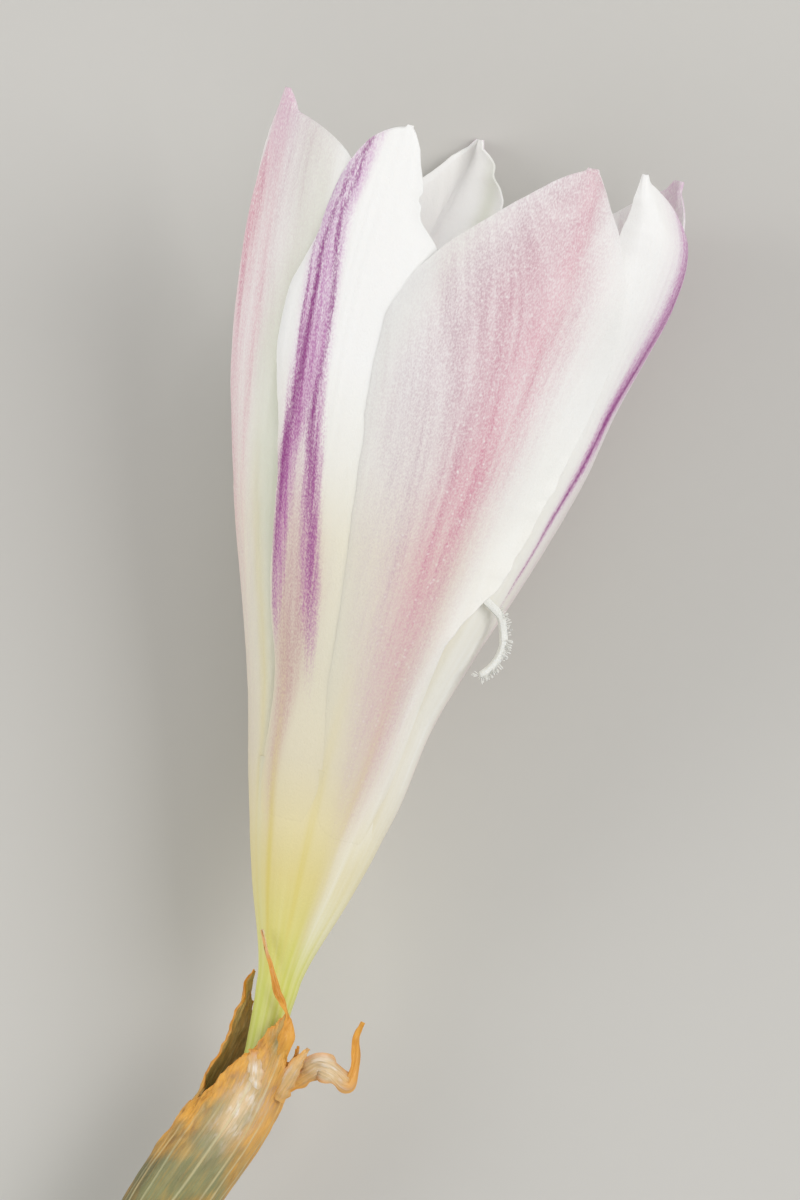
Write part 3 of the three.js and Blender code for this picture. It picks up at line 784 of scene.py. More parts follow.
# fmt: off
TEPALS = (
    Tepal(
        node="tepal_outer_front", name="outer_front_tepal", whorl=Whorl.OUTER, reach=36.1, blunt=0.7, beak=0.15,
        middle=(24, 27, 28, 28, 28.5, 29.5, 32), left=(28, 38, 46, 48.5, 48, 46, 34),
        right=(27, 24, 20, 14.5, 9.5, 17, 21, 24, 28, 31, 29.5, 27, 17),
        rim_left=(0, -0.25, -0.45, -0.45, -0.38, -0.2, 0),
        rim_right=(0, 0, 0.05, 0.1, 0.3, 0.65, 0.6, 0.6, 0.5, 0.6, 0.8, 0.6, 0.3),
        lip_right=(0, 0, 0, 0.05, 0.2, 0.4, 0.35, 0.15, 0.05, 0, 0, 0, 0),
        keel=(0.0, 0.0, 0.05, 0.08, 0.1, 0.2, 0.25), keel_at=(0.0, 2.0, 0.0, -2.0, 0.0, 4.0, 1.0), fan=77.0,
        washes=(
            Wash(
                Pigment.PINK, (30, 28, 27, 22, 20.5, 20, 22, 24.5, 25, 26, 27.5, 29.5, 33),
                (8, 13, 14, 14.5, 14, 12.5, 12.5, 12.5, 14, 16, 15, 11, 5),
                (0, 0.12, 0.25, 0.35, 0.45, 0.55, 0.55, 0.55, 0.52, 0.5, 0.45, 0.3, 0.25), 2.3,
            ),
            Wash(
                Pigment.PINK, (30, 27, 26, 22, 20, 19, 22, 26, 29, 31, 33.5, 34, 34),
                (6, 6, 6, 6.5, 7, 7, 7, 6.5, 6.5, 5.5, 4, 3, 2),
                (0, 0, 0.05, 0.1, 0.18, 0.25, 0.28, 0.3, 0.3, 0.3, 0.33, 0.28, 0.25),
            ),
            Wash(
                Pigment.HAZE, (24, 22, 13, 10, 12, 18, 28), (8, 16, 20, 24, 25, 23, 14),
                (0.1, 0.4, 0.55, 0.65, 0.8, 0.8, 0.8), 3.0,
            ),
            # Painted shade along the left margin, where it lies against the inner left tepal.
            Wash(Pigment.GREEN, (0, -6, -12, -17, -14, -2, 12), (8, 9, 10, 9, 8, 7, 6), (0, 0.05, 0.15, 0.25, 0.35)),
            Wash(
                Pigment.WHITE, (36, 44, 44, 45, 46, 48, 50), (14, 13, 13), (0.55, 0.7, 0.85, 0.85, 0.6, 0.3, 0), 3.0,
            ),
            Wash(Pigment.YELLOW, (24.5, 25, 27), (3.4,), (0.4, 0.2, 0, 0, 0, 0, 0)),
            Wash(Pigment.YELLOW, (-4, 2, 6), (3.6,), (0.4, 0.12, 0, 0, 0, 0, 0)),
        ),
    ),
    Tepal(
        node="tepal_outer_left", name="outer_left_tepal", whorl=Whorl.OUTER, reach=36.5, blunt=0.55, beak=0.9,
        middle=(-94, -92, -90, -88, -86, -80, -69), left=(25, 32, 36, 38, 38, 36, 28),
        right=(31, 34, 37, 39, 40, 41, 42, 40, 39.4, 42, 54, 76, 92), flare=(0, 0, 0, 0, -0.05, -0.15, -0.3),
        rim_right=(0, -0.2, -0.7, -1.0, -1.1, -1.1, -1.1, -1.1, -1.0, -0.8, -0.55, -0.3, 0), rim_power=3.5,
        beak_half=0.2, beak_widens=1.1, beak_widest=1.2, keel=(0.0, 0.0, 0.0, 0.05, 0.1, 0.2, 0.2),
        washes=(
            Wash(
                Pigment.PINK, (-94, -92, -90, -86, -80, -75, -67), (6, 8, 10, 13, 15, 14, 6),
                (0, 0.15, 0.35, 0.45, 0.42, 0.36, 0.2), 2.0,
            ),
            Wash(Pigment.PINK, (-92, -92, -92, -90, -86, -80, -72), (8,), (0, 0, 0, 0.1, 0.22, 0.4, 0.15)),
            Wash(Pigment.PINK, (-76, -76, -76, -70.5, -66, -65, -66), (2.4,), (0, 0, 0.1, 0.25, 0.3, 0.2, 0.1)),
            Wash(Pigment.HAZE, (-80,), (16, 18, 20, 24, 24, 22, 24), (0.1, 0.2, 0.25, 0.2, 0.2, 0.22, 0.3), 3.0),
            Wash(Pigment.HAZE, (-56,), (10, 10, 10, 10, 12, 16, 16), (0, 0, 0, 0, 0.05, 0.3, 0.45), 3.0),
            Wash(Pigment.LILAC, (-69,), (8, 8, 8, 8, 8, 8, 10), (0, 0, 0, 0, 0, 0, 0.35)),
            # Painted shade on the right part, turned from the light under the inner left tepal's margin.
            Wash(Pigment.GREEN, (-60, -58, -57, -55, -54, -46, -50), (9,), (0.2, 0.35, 0.6, 0.9, 0.9, 0.6, 0.3)),
            Wash(Pigment.YELLOW, (-63, -62, -60), (2.6,), (0.1, 0.3, 0.2, 0, 0, 0)),
            Wash(Pigment.YELLOW, (-92,), (3.4,), (0.5, 0.2, 0, 0, 0, 0, 0)),
        ),
    ),
    Tepal(
        node="tepal_outer_back", name="outer_back_tepal", whorl=Whorl.OUTER, reach=36.6, blunt=0.6, beak=0.5,
        middle=(146, 146, 145, 142, 138, 132, 121), left=(30, 34, 34, 33, 29, 28, 34),
        right=(31, 36, 38, 38, 36, 36, 36), flare=(0, 0, 0, 0.1, 0.3, 0.8, 0.9), rim_left=(0, 0, 0, 0, 0.1, 0.3, 0),
        keel=(0.0, 0.0, 0.0, 0.0, 0.1, 0.2, 0.2), beak_half=0.3, fan=40.0,
        washes=(
            Wash(
                Pigment.PINK, (146, 146, 145, 142, 138, 132, 120), (3, 5, 6, 8, 8, 7, 6),
                (0, 0.45, 0.75, 0.85, 0.85, 0.6, 0.25),
            ),
            Wash(Pigment.LILAC, (120,), (12,), (0, 0, 0, 0, 0, 0.3, 0.8)),
            Wash(
                Pigment.HAZE, (146, 145, 144, 142, 138, 132, 120), (8, 14, 18, 22, 22, 20, 18), (0.1, 0.5, 0.75), 3.0,
            ),
            # Painted shade on the left part, the shadowed face between its neighbours.
            Wash(Pigment.GREEN, (124, 118, 114, 112, 110, 106, 104), (8,), (0, 0.4, 0.6, 0.6, 0.4, 0.2, 0)),
            Wash(Pigment.YELLOW, (146,), (3.4,), (0.5, 0.2, 0, 0, 0, 0, 0)),
        ),
    ),
    Tepal(
        node="tepal_inner_left", name="inner_left_tepal", whorl=Whorl.INNER, reach=36.1, blunt=0.5, beak=0.12,
        middle=(-36, -37, -40, -41, -38, -35, -20),
        left=(24, 21, 16.3, 13.2, 15.3, 11.2, 8.3, 10.6, 16, 15.1, 8.4, 16.5, 27),
        right=(27, 31, 34, 37, 40, 40, 40, 39, 38, 37, 38.5, 24, 10),
        dents=((0.876, 0.022, 0.42), (0.905, 0.006, 0.2)), columns=130,
        washes=(
            Wash(
                Pigment.PURPLE, (-52, -52, -52, -52, -50.5, -48.1, -46, -42.6, -41, -41.4, -41, -41, -41),
                (3, 3, 3, 3.4, 4.2, 5.0, 4.7, 4.6, 3.6, 2.6, 2, 2, 2),
                (0, 0, 0, 0, 0.42, 0.7, 0.74, 0.7, 0.45, 0.2, 0, 0, 0), 3.0,
            ),
            Wash(
                Pigment.PURPLE, (-24, -24, -24, -25, -28.5, -31.3, -32.6, -33.2, -34.2, -35, -35, -35, -35),
                (4, 4, 4, 5, 5.5, 4.6, 4.1, 3.5, 3, 3, 3, 3, 3),
                (0, 0, 0, 0.12, 0.4, 0.62, 0.66, 0.62, 0.3, 0, 0, 0, 0), 2.6,
            ),
            Wash(
                Pigment.PURPLE, (-39, -39, -39, -39, -39, -39, -39, -38.5, -38, -37.8, -37.7, -35, -28),
                (6, 6, 6, 6, 6, 6, 6, 7, 6.5, 5.8, 5.1, 4.8, 2.2),
                (0, 0, 0, 0, 0, 0, 0, 0, 0.2, 0.22, 0.18, 0.12, 0.06), 4.0,
            ),
            Wash(
                Pigment.DEEP, (-54, -54, -54, -54, -53, -50.6, -47.8, -44.3, -41.2, -40.3, -39.3, -35, -30),
                (1.2, 1.2, 1.2, 1.2, 1.4, 1.8, 2.0, 2.0, 1.6, 1.2, 1.0, 0.9, 0.8),
                (0, 0, 0, 0, 0.2, 0.45, 0.5, 0.6, 0.65, 0.7, 0.65, 0.55, 0.3),
            ),
            Wash(
                Pigment.DEEP, (-28, -28, -28, -28, -28.5, -31.5, -33, -34.5, -33, -33.2, -35.2, -33, -29),
                (2, 2, 2, 2, 2, 2.2, 2.2, 1.8, 0.8, 0.8, 1.1, 0.8, 0.6),
                (0, 0, 0, 0, 0.15, 0.3, 0.42, 0.48, 0.45, 0.5, 0.6, 0.5, 0.3),
            ),
            Wash(
                Pigment.DEEP, (-44, -44, -44, -44, -44, -44, -44, -44.5, -44.3, -43.9, -43.0, -40.2, -33), (0.45,),
                (0, 0, 0, 0, 0, 0, 0, 0, 0.3, 0.4, 0.4, 0.4, 0.3),
            ),
            Wash(
                Pigment.LILAC, (-38, -38, -38, -38, -38, -38, -40, -40, -38.6, -38.3, -38.2, -35.5, -29),
                (4, 4, 4, 6, 8, 8, 8, 8, 7.2, 6.6, 6, 6, 4),
                (0, 0, 0, 0, 0.1, 0.15, 0.2, 0.3, 0.7, 0.85, 0.9, 0.85, 0.4), 5.0,
            ),
            Wash(
                Pigment.TAN, (-46, -45, -41, -37, -41, -46, -46, -46, -46), (6, 7, 11, 13, 10, 7, 6, 6, 6),
                (0.05, 0.5, 0.85, 0.8, 0.4, 0.1, 0, 0, 0), 3.0,
            ),
            Wash(Pigment.YELLOW, (-42, -46, -47), (3.2,), (0.7, 0.3, 0, 0, 0, 0)),
        ),
    ),
    Tepal(
        node="tepal_inner_right", name="inner_right_tepal", whorl=Whorl.INNER, reach=36.4, blunt=0.68, beak=0.35,
        beak_half=0.06, middle=(86, 80, 72, 71, 77, 76, 55), left=(33, 38, 46, 44, 36, 20, 30, 38, 38, 39, 40, 26, 4),
        right=(30, 36, 40, 40, 38.5, 43, 56), flare=(0, 0, 0, 0.05, 0.1, 0.25, 0.38, 0.42, 0.45, 0.8, 1.2, 1.2, 0.1),
        rim_left=(0, 0, 0, -0.05, -0.1, -0.25, -0.38, -0.42, -0.45, -0.8, -1.2, -1.2, -0.1),
        rim_right=(0, 0, 0, -0.2, -0.3, -0.5, 0), columns=120,
        washes=(
            Wash(
                Pigment.PURPLE, (86, 80, 72, 69, 75, 79.5, 76), (1, 1, 1, 2, 4.5, 6.5, 5),
                (0, 0, 0, 0.45, 0.7, 0.55, 0.3), 2.4,
            ),
            Wash(
                Pigment.DEEP, (86, 80, 72, 69, 75, 80.5, 78), (0.5, 0.5, 0.5, 0.8, 1.2, 1.6, 1.0),
                (0, 0, 0, 0.6, 0.75, 0.55, 0.2),
            ),
            Wash(Pigment.LILAC, (86, 80, 72, 70, 77, 81, 76), (3, 3, 3, 4, 8, 11, 10), (0, 0, 0, 0.3, 0.6, 0.8, 0.5)),
            Wash(Pigment.WHITE, (74,), (26,), (0.4, 0.7, 0.85, 0.85, 0.4, 0, 0), 4.0),
            Wash(Pigment.PINK, (92, 88, 88), (9,), (0, 0.25, 0.3, 0.1, 0, 0, 0)),
            Wash(Pigment.HAZE, (92, 88, 84, 82, 88, 90, 90), (9,), (0, 0.2, 0.35, 0.5, 0.4, 0.3, 0.1)),
            Wash(Pigment.YELLOW, (86,), (3.4,), (0.5, 0.2, 0, 0, 0, 0, 0)),
        ),
    ),
    Tepal(
        node="tepal_inner_back", name="inner_back_tepal", whorl=Whorl.INNER, reach=36.4, blunt=0.6, beak=0.4,
        middle=(-155, -156, -158, -162, -166, -172, -180), left=(25, 30, 32, 32, 30, 30, 29),
        right=(25, 30, 36, 38, 38, 32, 15), dents=((0.955, 0.012, 0.3), (0.9, 0.014, 0.22)), dented_side=-1.0,
        rim_left=(0, 0, 0, 0, -0.2, -1.0, -1.0), keel=(0.0, 0.0, 0.0, 0.1, 0.2, 0.6, 0.6),
        washes=(
            # Painted shade in the groove of the folded blade.
            Wash(Pigment.GREEN, (-180, -180, -180, -180, -182, -186, -188), (3,), (0, 0, 0, 0, 0.3, 0.5, 0.5)),
            Wash(
                Pigment.PURPLE, (-155, -156, -158, -162, -166, -172, -180), (2, 2, 2, 3, 3.5, 3, 2.4),
                (0, 0, 0.2, 0.7, 0.8, 0.75, 0.3), 3.0,
            ),
            Wash(
                Pigment.DEEP, (-155, -156, -158, -162, -166, -172, -180), (0.7, 0.7, 0.8, 1.0, 1.1, 1.0, 0.8),
                (0, 0, 0.2, 0.9, 0.9, 0.8, 0.3),
            ),
            Wash(Pigment.LILAC, (-155, -156, -158, -162, -166, -172, -180), (5,), (0, 0, 0.3, 0.5, 0.4, 0.15, 0)),
            Wash(Pigment.YELLOW, (-155,), (3.4,), (0.5, 0.2, 0, 0, 0, 0, 0)),
        ),
    ),
)
# fmt: on


@dataclass(frozen=True)
class TepalSkin:
    """Living petal skin: a white, slightly glassy layer of fine raised cells over pale flesh.

    The pigment sits in single cells, so every band of it is granular and streaked lengthwise. Light
    passes into the flesh and out again, which keeps the shadows of a petal pale. The cells are drawn
    0.06 mm wide, half as wide again as real ones of 0.04 mm, as finer ones would not show.
    """

    name: str = "petal skin, white with pink and purple cells"
    pink: str = "#E0A4B2"
    deep_pink: str = "#C88AA0"
    haze: str = "#D0BFC4"
    lilac: str = "#D3AFCF"
    purple: str = "#BC70AE"
    deep: str = "#8F3681"
    tan: str = "#CBAAA4"
    yellow: str = "#DCC95C"
    # Grey-green of the painted shade that the shade washes lay on the tepals.
    green: str = "#D3D7C3"
    white: str = "#F9F8F2"
    neck_stripe: str = "#EFEBB4"
    # Near-white of the painted glints, tiny highlights off single cells.
    painted_glint: str = "#F8F8F4"
    cell: Triple = (0.06 * MM, 0.13 * MM, 0.06 * MM)
    streak: Triple = (0.25, 5.0, 0.25)
    patch: Triple = (1.2, 7.0, 1.2)
    broad: Triple = (2.4, 16.0, 2.4)
    glint_spacing: float = 0.3 * MM
    cell_height: float = 0.01 * MM
    light_depth: float = 0.4 * MM
    roughness: Row = (0.38, 0.6)
    lowest: float = -4.0
    highest: float = 26.0
    stripes_full: float = 0.5
    stripes_end: float = 8.0
    fused_up_to: float = 7.0
    free_from: float = 15.0

    # Colour of the flesh at heights on the axis. The two ends come first, as a new ramp has two stops.
    FLESH = (
        (-3.0, "#B7BF48"), (26.0, "#F9F8F5"), (-0.5, "#CBD058"), (1.2, "#D6D468"), (2.2, "#DED57C"),
        (4.4, "#E1D28E"), (6.8, "#E5D9AE"), (9.3, "#DFD6BC"), (14.0, "#E5DFCB"), (18.5, "#ECE6D4"), (22.0, "#F4F2EA"),
    )  # fmt: skip

    def make(self) -> Material:
        """Build the material.

        Returns:
            The material, which reads the flow, the pigments and object coordinates.
        """
        sheet = Finish(self.name)
        flow = sheet.stored(FLOW, "Vector")
        place = add_node(sheet.tree, "TexCoord").outputs["Object"]
        height = add_node(sheet.tree, "SeparateXYZ", {0: flow}).outputs["Y"]
        level = sheet.spread(height, self.lowest, self.highest)
        stops = [((y - self.lowest) / (self.highest - self.lowest), colour) for y, colour in self.FLESH]
        sheet.colour = add_node(sheet.tree, "ValToRGB", {0: level}, stops).outputs[0]
        cells = sheet.grain(place, self.cell, detail=1.0)
        streaks = sheet.grain(flow, self.streak, detail=3.0, spread=0.18)
        patches = sheet.grain(flow, self.patch)
        inside = sheet.stored("inside")
        outside = sheet.plus(inside, -1.0, 1.0)
        shows_through = sheet.plus(inside, -0.4, 1.0)
        grainy = sheet.plus(cells, 0.7, 0.55)
        streaky = sheet.plus(streaks, 0.4, 0.76)
        patchy = sheet.plus(patches, 0.5, 0.68)
        near_neck = sheet.spread(height, self.stripes_full, self.stripes_end, 0.5, 0.0)
        sheet.lay(self.neck_stripe, sheet.grain(flow, self.broad), outside, near_neck)
        pink = sheet.tint(linear(self.pink), self.deep_pink, cells, streaks, patches)
        layers = (
            # Grey-green painted shade, laid under the pigments.
            (Pigment.GREEN, self.green, patchy),
            (Pigment.YELLOW, self.yellow, outside, streaky),
            (Pigment.WHITE, self.white, patchy),
            (Pigment.TAN, self.tan, outside, streaky, grainy),
            (Pigment.HAZE, self.haze, shows_through, patchy, streaky, grainy),
            (Pigment.PINK, pink, shows_through, patchy, streaky, grainy),
            (Pigment.LILAC, self.lilac, shows_through, streaky, grainy),
        )
        for pigment, over, *shares in layers:
            sheet.lay(over, sheet.stored(pigment.value), *shares)
        mixed = sheet.plus(cells, 0.55, sheet.times(streaks, 0.45))
        purple = sheet.times(sheet.stored(Pigment.PURPLE.value), outside)
        deep = sheet.plus(purple, 0.25, sheet.times(sheet.stored(Pigment.DEEP.value), outside))
        for amount, over, noisy, less in ((purple, self.purple, 0.7, -0.3), (deep, self.deep, 0.9, -0.55)):
            dotted = sheet.plus(mixed, noisy, sheet.plus(amount, 1.0, less))
            sheet.lay(over, dotted, sheet.spread(amount, 0.0, 0.25))
        # Painted glints: small near-white dots for light glancing off single cells, thickest where the pink and haze
        # lie.
        by_glint = {0: place, "Scale": 1 / self.glint_spacing}
        at = add_node(sheet.tree, "VectorMath", by_glint, operation="SCALE").outputs[0]
        away = add_node(sheet.tree, "TexVoronoi", {"Vector": at, "Scale": 1.0}).outputs["Distance"]
        hazy = sheet.times(sheet.stored(Pigment.HAZE.value), 0.5)
        blushed = sheet.plus(sheet.stored(Pigment.PINK.value), 1.0, hazy)
        sheet.lay(self.painted_glint, sheet.spread(away, 0.25, 0.1, 0.0, 0.75), patches, blushed)
        free = sheet.spread(height, self.fused_up_to, self.free_from, 0.0, 0.35)
        light = (free, self.light_depth, (1.0, 0.96, 0.92))
        bump = (sheet.plus(streaks, 0.5, cells), self.cell_height, 0.6)
        return sheet.done(cells, self.roughness, bump, light, IOR=1.4, Specular_IOR_Level=0.4)


@dataclass(frozen=True)
class PerianthTube:
    """The fused neck of the bloom, a thin funnel whose rim dives under the backs of the tepals."""

    node: str = "perianth_tube"
    name: str = "perianth_neck"
    bottom: float = -4.2
    top: float = 9.0
    neck_radius: float = 0.72
    neck_widens: float = 0.05
    widens_from: float = -3
    flares_from: float = -1.2
    flares_by: float = 0.2
    proud: float = 0.012
    dives_from: float = 5.3
    dives_by: float = 0.15
    washes_from: float = -0.5
    washes_full: float = 3.0
    wall: float = 0.3
    rim_wall: float = 0.04
    sides: int = 144
    steps: int = 90

    def radius(self, y: float) -> float:
        """Outer radius at height y."""
        straight = self.neck_radius + self.neck_widens * max(y - self.widens_from, 0.0)
        flared = FUNNEL.radius(y) + self.proud - self.dives_by * ease(self.dives_from, self.top, y)
        return straight + (flared - straight) * ease(self.flares_from, self.flares_by, y)

    def build(self) -> Piece:
        """Draw a ring up the axis to the funnel's shape, and give it its wall.

        Returns:
            The piece, in the bloom's frame.
        """
        heights = stepped(self.bottom, self.top, self.steps)
        path = [Vector((0.0, y, 0.0)) for y in heights]
        piece = extrude_along(self.name, path, [self.radius(y) for y in heights], self.sides, closed=False)
        places = [(math.degrees(math.atan2(v.co.x, v.co.z)), v.co.y) for v in piece.data.vertices]
        give_flow(piece, [FUNNEL.flow(azimuth, y) for azimuth, y in places])
        throat, reach = Tepal.THROAT, TEPALS[0].reach
        spots = [(azimuth, max(y - throat, 0.0) / (reach - throat)) for azimuth, y in places]
        shares = [ease(self.washes_from, self.washes_full, y) for _, y in places]
        give_pigments(piece, [wash for tepal in TEPALS for wash in tepal.washes], spots, shares)
        outwards(piece)
        face = piece.data.polygons[0]
        if face.normal.dot(Vector((face.center.x, 0.0, face.center.z))) < 0:
            piece.data.flip_normals()
        full = [1 - ease(self.dives_from, self.top, y) for _, y in places]
        thicken(piece, self.wall, -1.0, full, self.rim_wall / self.wall)
        return piece


@dataclass(frozen=True)
class Strip:
    """A narrow torn shred of bract along a path, cupped across and twisted as it dries."""

    path: tuple[Triple, ...]
    widths: Row
    twist: Row = (0.0,)
    cup: float = 0.25
    dry: Row = (0.6, 1.0)
    pale: Row = (0.0,)
    orange: Row = (0.0,)
    rows: int = 90

    COLUMNS = 12
    THINNEST = 0.05
    JAG = 0.35
    JAG_STEPS = 14
    RUMPLE = 0.12
    EDGE_FROM = 0.6
    EDGE_DRY = 0.7

    @property
    def seed(self) -> float:
        """What sets this shred's noise apart from another one's."""
        return self.path[0][0]

    def half(self, u: float, v: float) -> float:
        """Half the shred's width, with its torn waver."""
        jag = 1 + self.JAG * rough(v * self.JAG_STEPS, math.copysign(2, u), self.seed * 5)
        return max(along(self.widths, v), self.THINNEST) / 2 * jag

    def place(self, u: float, v: float) -> Vector:
        """Point of the shred's middle surface."""
        step = 0.01
        ahead = (on_path(self.path, v + step) - on_path(self.path, v - step)).normalized()
        across = Vector((ahead.y, -ahead.x, 0.0)).normalized()
        turn = Matrix.Rotation(math.radians(along(self.twist, v)), 3, ahead)
        face = turn @ across.cross(ahead).normalized()
        half = self.half(u, v)
        crease = 0.3 - abs(rough(v * 5, u * 1.5, self.seed * 3))
        lift = self.cup * half * (0.33 - u * u) + self.RUMPLE * crease
        return on_path(self.path, v) + (turn @ across) * (u * half) + face * lift

    def build(self, name: str, thickness: float) -> Piece:
        """Make the shred, with the same look on both sides.

        Args:
            name: The piece's name.
            thickness: Its thickness in millimetres.

        Returns:
            The piece, in the bloom's frame.
        """
        piece, flat = sheet_from_grid(name, self.COLUMNS, self.rows, self.place)
        length = sum((Vector(b) - Vector(a)).length for a, b in zip(self.path, self.path[1:]))
        give_flow(piece, [Vector((u * self.half(u, v), length * v, self.seed * 5)) for u, v in flat])
        torn = [self.EDGE_DRY * ease(self.EDGE_FROM, 1.0, abs(u)) for u, _ in flat]
        for stored, values in (("dry", self.dry), ("pale", self.pale), ("vein", (0.0,)), ("dark", (0.0,))):
            give(piece, stored, [along(values, v) for _, v in flat])
        give(piece, "edge", [max(along(self.orange, v), edge) for (_, v), edge in zip(flat, torn)])
        thicken(piece, thickness, lined=False)
        outwards(piece)
        return piece


@dataclass(frozen=True)
class Patch:
    """A soft spot of colour on a bract: its middle and half width in azimuth and in height."""

    azimuth: float
    wide: float
    s: float
    high: float
    strength: float

    def at(self, azimuth: float, s: float) -> float:
        """How strong it is at a place."""
        return self.strength * bell(azimuth, self.azimuth, self.wide) * bell(s, self.s, self.high)


@dataclass(frozen=True)
class Bract:
    """Half of the papery sheath: it wraps the spine and ends in a torn, crumpled rim."""

    node: str
    name: str
    rim: tuple[tuple[float, float], ...]
    shreds: tuple[Strip, ...] = ()
    swell: float = 0.0
    seed: float = 0.0
    base: float = -14.2
    top: float = 0.4
    radii: Row = (1.36, 1.62, 1.73, 1.77, 1.77, 1.75, 1.71, 1.6, 1.42, 1.35)
    thickness: float = 0.1

    COLUMNS = 190
    ROWS = 110
    CROWDING = 1.25
    VEIN_STEP = 17.0
    VEIN_HALF = 1.1
    VEIN_HEIGHT = 0.025
    CRUMPLE = 0.17
    CRUMPLED_TO = 3.4
    SOFT_FOLD = 0.02
    JAG = 0.24
    GRIP = 1.2
    GRIP_RADIUS = 0.95
    GRIP_WIDENS = 0.35
    MEAN_RADIUS = 1.6
    EDGE = 0.2
    DARK_STRIPE = (-58.0, 8.0)
    FLAP = (24.0, 14.0)
    SILKY = (Patch(7, 21, -5.7, 1.5, 1.0), Patch(45, 25, -5.4, 1.6, 0.15))

    def edge(self, azimuth: float) -> float:
        """Height of the torn rim at an azimuth."""
        for (a, low), (b, high) in zip(self.rim, self.rim[1:]):
            if azimuth <= b:
                return low + (high - low) * max((azimuth - a) / (b - a), 0.0)
        return self.rim[-1][1]

    def spot(self, u: float, v: float) -> Triple:
        """Azimuth, height on the spine and depth below the torn rim."""
        first, last = self.rim[0][0], self.rim[-1][0]
        azimuth = first + (last - first) * (u + 1) / 2
        jag = rough(azimuth * 0.11, self.seed, 0.0) + 0.6 * rough(azimuth * 0.37, self.seed, 4.0)
        rim = self.edge(azimuth) + self.JAG * jag
        s = self.base + (rim - self.base) * (1 - (1 - v) ** self.CROWDING)
        return azimuth, s, rim - s

    def vein(self, azimuth: float, s: float) -> float:
        """How near a place is to the middle of one of the lengthwise veins, from 0 to 1."""
        nearest = round(azimuth / self.VEIN_STEP)
        best = 0.0
        for k in (nearest - 1, nearest, nearest + 1):
            shift = 9 * rough(k * 3.7, self.seed, 0.3) + 5 * rough(s * 0.3, k * 2.1, self.seed)
            bold = 0.75 + 0.9 * rough(k * 5.3, self.seed, 2.0) + 0.5 * rough(s * 0.5, k * 4.1, self.seed)
            best = max(best, min(bold, 1.0) * bell(azimuth - k * self.VEIN_STEP - shift, 0.0, self.VEIN_HALF))
        return best

    def place(self, u: float, v: float) -> Vector:
        """Point of the sheath's middle surface."""
        azimuth, s, below = self.spot(u, v)
        out = along(self.radii, (s - self.base) / (self.top - self.base)) + self.swell
        gripped_to = self.base + self.GRIP
        if s < gripped_to:
            out = min(out, self.GRIP_RADIUS + self.GRIP_WIDENS * ease(self.base, gripped_to, s))
        torn = 1 - ease(self.EDGE, self.CRUMPLED_TO, below)
        arc = math.radians(azimuth) * self.MEAN_RADIUS
        fold = rough(arc * 1.5, s * 0.8, self.seed) + 0.5 * rough(arc * 3.4, s * 1.9, self.seed)
        sharp = 0.35 - abs(rough(arc * 2.2 + 5, s * 0.8 + 5, self.seed + 5))
        fine = 0.2 - abs(rough(arc * 5.0, s * 1.6, self.seed + 8))
        out += self.VEIN_HEIGHT * self.vein(azimuth, s) * (1 - torn)
        out += self.CRUMPLE * torn * (fold + 0.8 * sharp + 0.7 * fine) + self.SOFT_FOLD * fold
        return SPINE.beside(azimuth, out, s)

    def tone(self, azimuth: float, s: float, below: float) -> Triple:
        """How withered, how pale and silky, and how dark the sheath is at a place.

        Args:
            azimuth: Azimuth of the place.
            s: Its height on the spine.
            below: Its depth below the torn rim.

        Returns:
            The three values, from 0 to 1; the darkness is a dark stripe, random patches and painted shade down the
            left side.
        """
        patch = rough(math.radians(azimuth) * self.MEAN_RADIUS * 1.6, s * 0.9, self.seed + 9)
        right = ease(8, 40, azimuth) * (1 - ease(130, 200, azimuth))
        flap = 0.5 * bell(azimuth, *self.FLAP) * ease(-4.4, -3.4, s)
        dry = held(1 - ease(self.EDGE, 4.4 + 4.5 * right, below) + 0.5 * patch - flap)
        silky = sum(spot.at(azimuth, s) for spot in self.SILKY)
        stripe = bell(azimuth, *self.DARK_STRIPE) * (1 - ease(-7.5, -5.5, s))
        # Painted shade down the left side of the sheath, below its crumpled top.
        left = 0.8 * (1 - ease(-70, -15, azimuth)) * (1 - ease(-9.5, -7.0, s))
        return dry, held(silky + 0.8 * patch * silky), min(stripe + left + 0.35 * max(patch, 0.0), 1.0)

    def build(self) -> Piece:
        """Make the sheath and join its torn shreds to it.

        Returns:
            The piece, in the bloom's frame.
        """
        piece, flat = sheet_from_grid(self.name, self.COLUMNS, self.ROWS, self.place)
        spots = [self.spot(u, v) for u, v in flat]
        for name, values in zip(("dry", "pale", "dark"), zip(*(self.tone(*spot) for spot in spots))):
            give(piece, name, values)
        give(piece, "edge", [1 - ease(0.0, self.EDGE, below) for _, _, below in spots])
        give(piece, "vein", [self.vein(azimuth, s) * ease(0.8, 3.2, below) for azimuth, s, below in spots])
        give_flow(piece, [around(azimuth, self.MEAN_RADIUS, s) for azimuth, s, _ in spots])
        thicken(piece, self.thickness)
        outwards(piece)
        shreds = [shred.build(f"shred_{i}", self.thickness) for i, shred in enumerate(self.shreds)]
        return join([piece, *shreds], self.name)


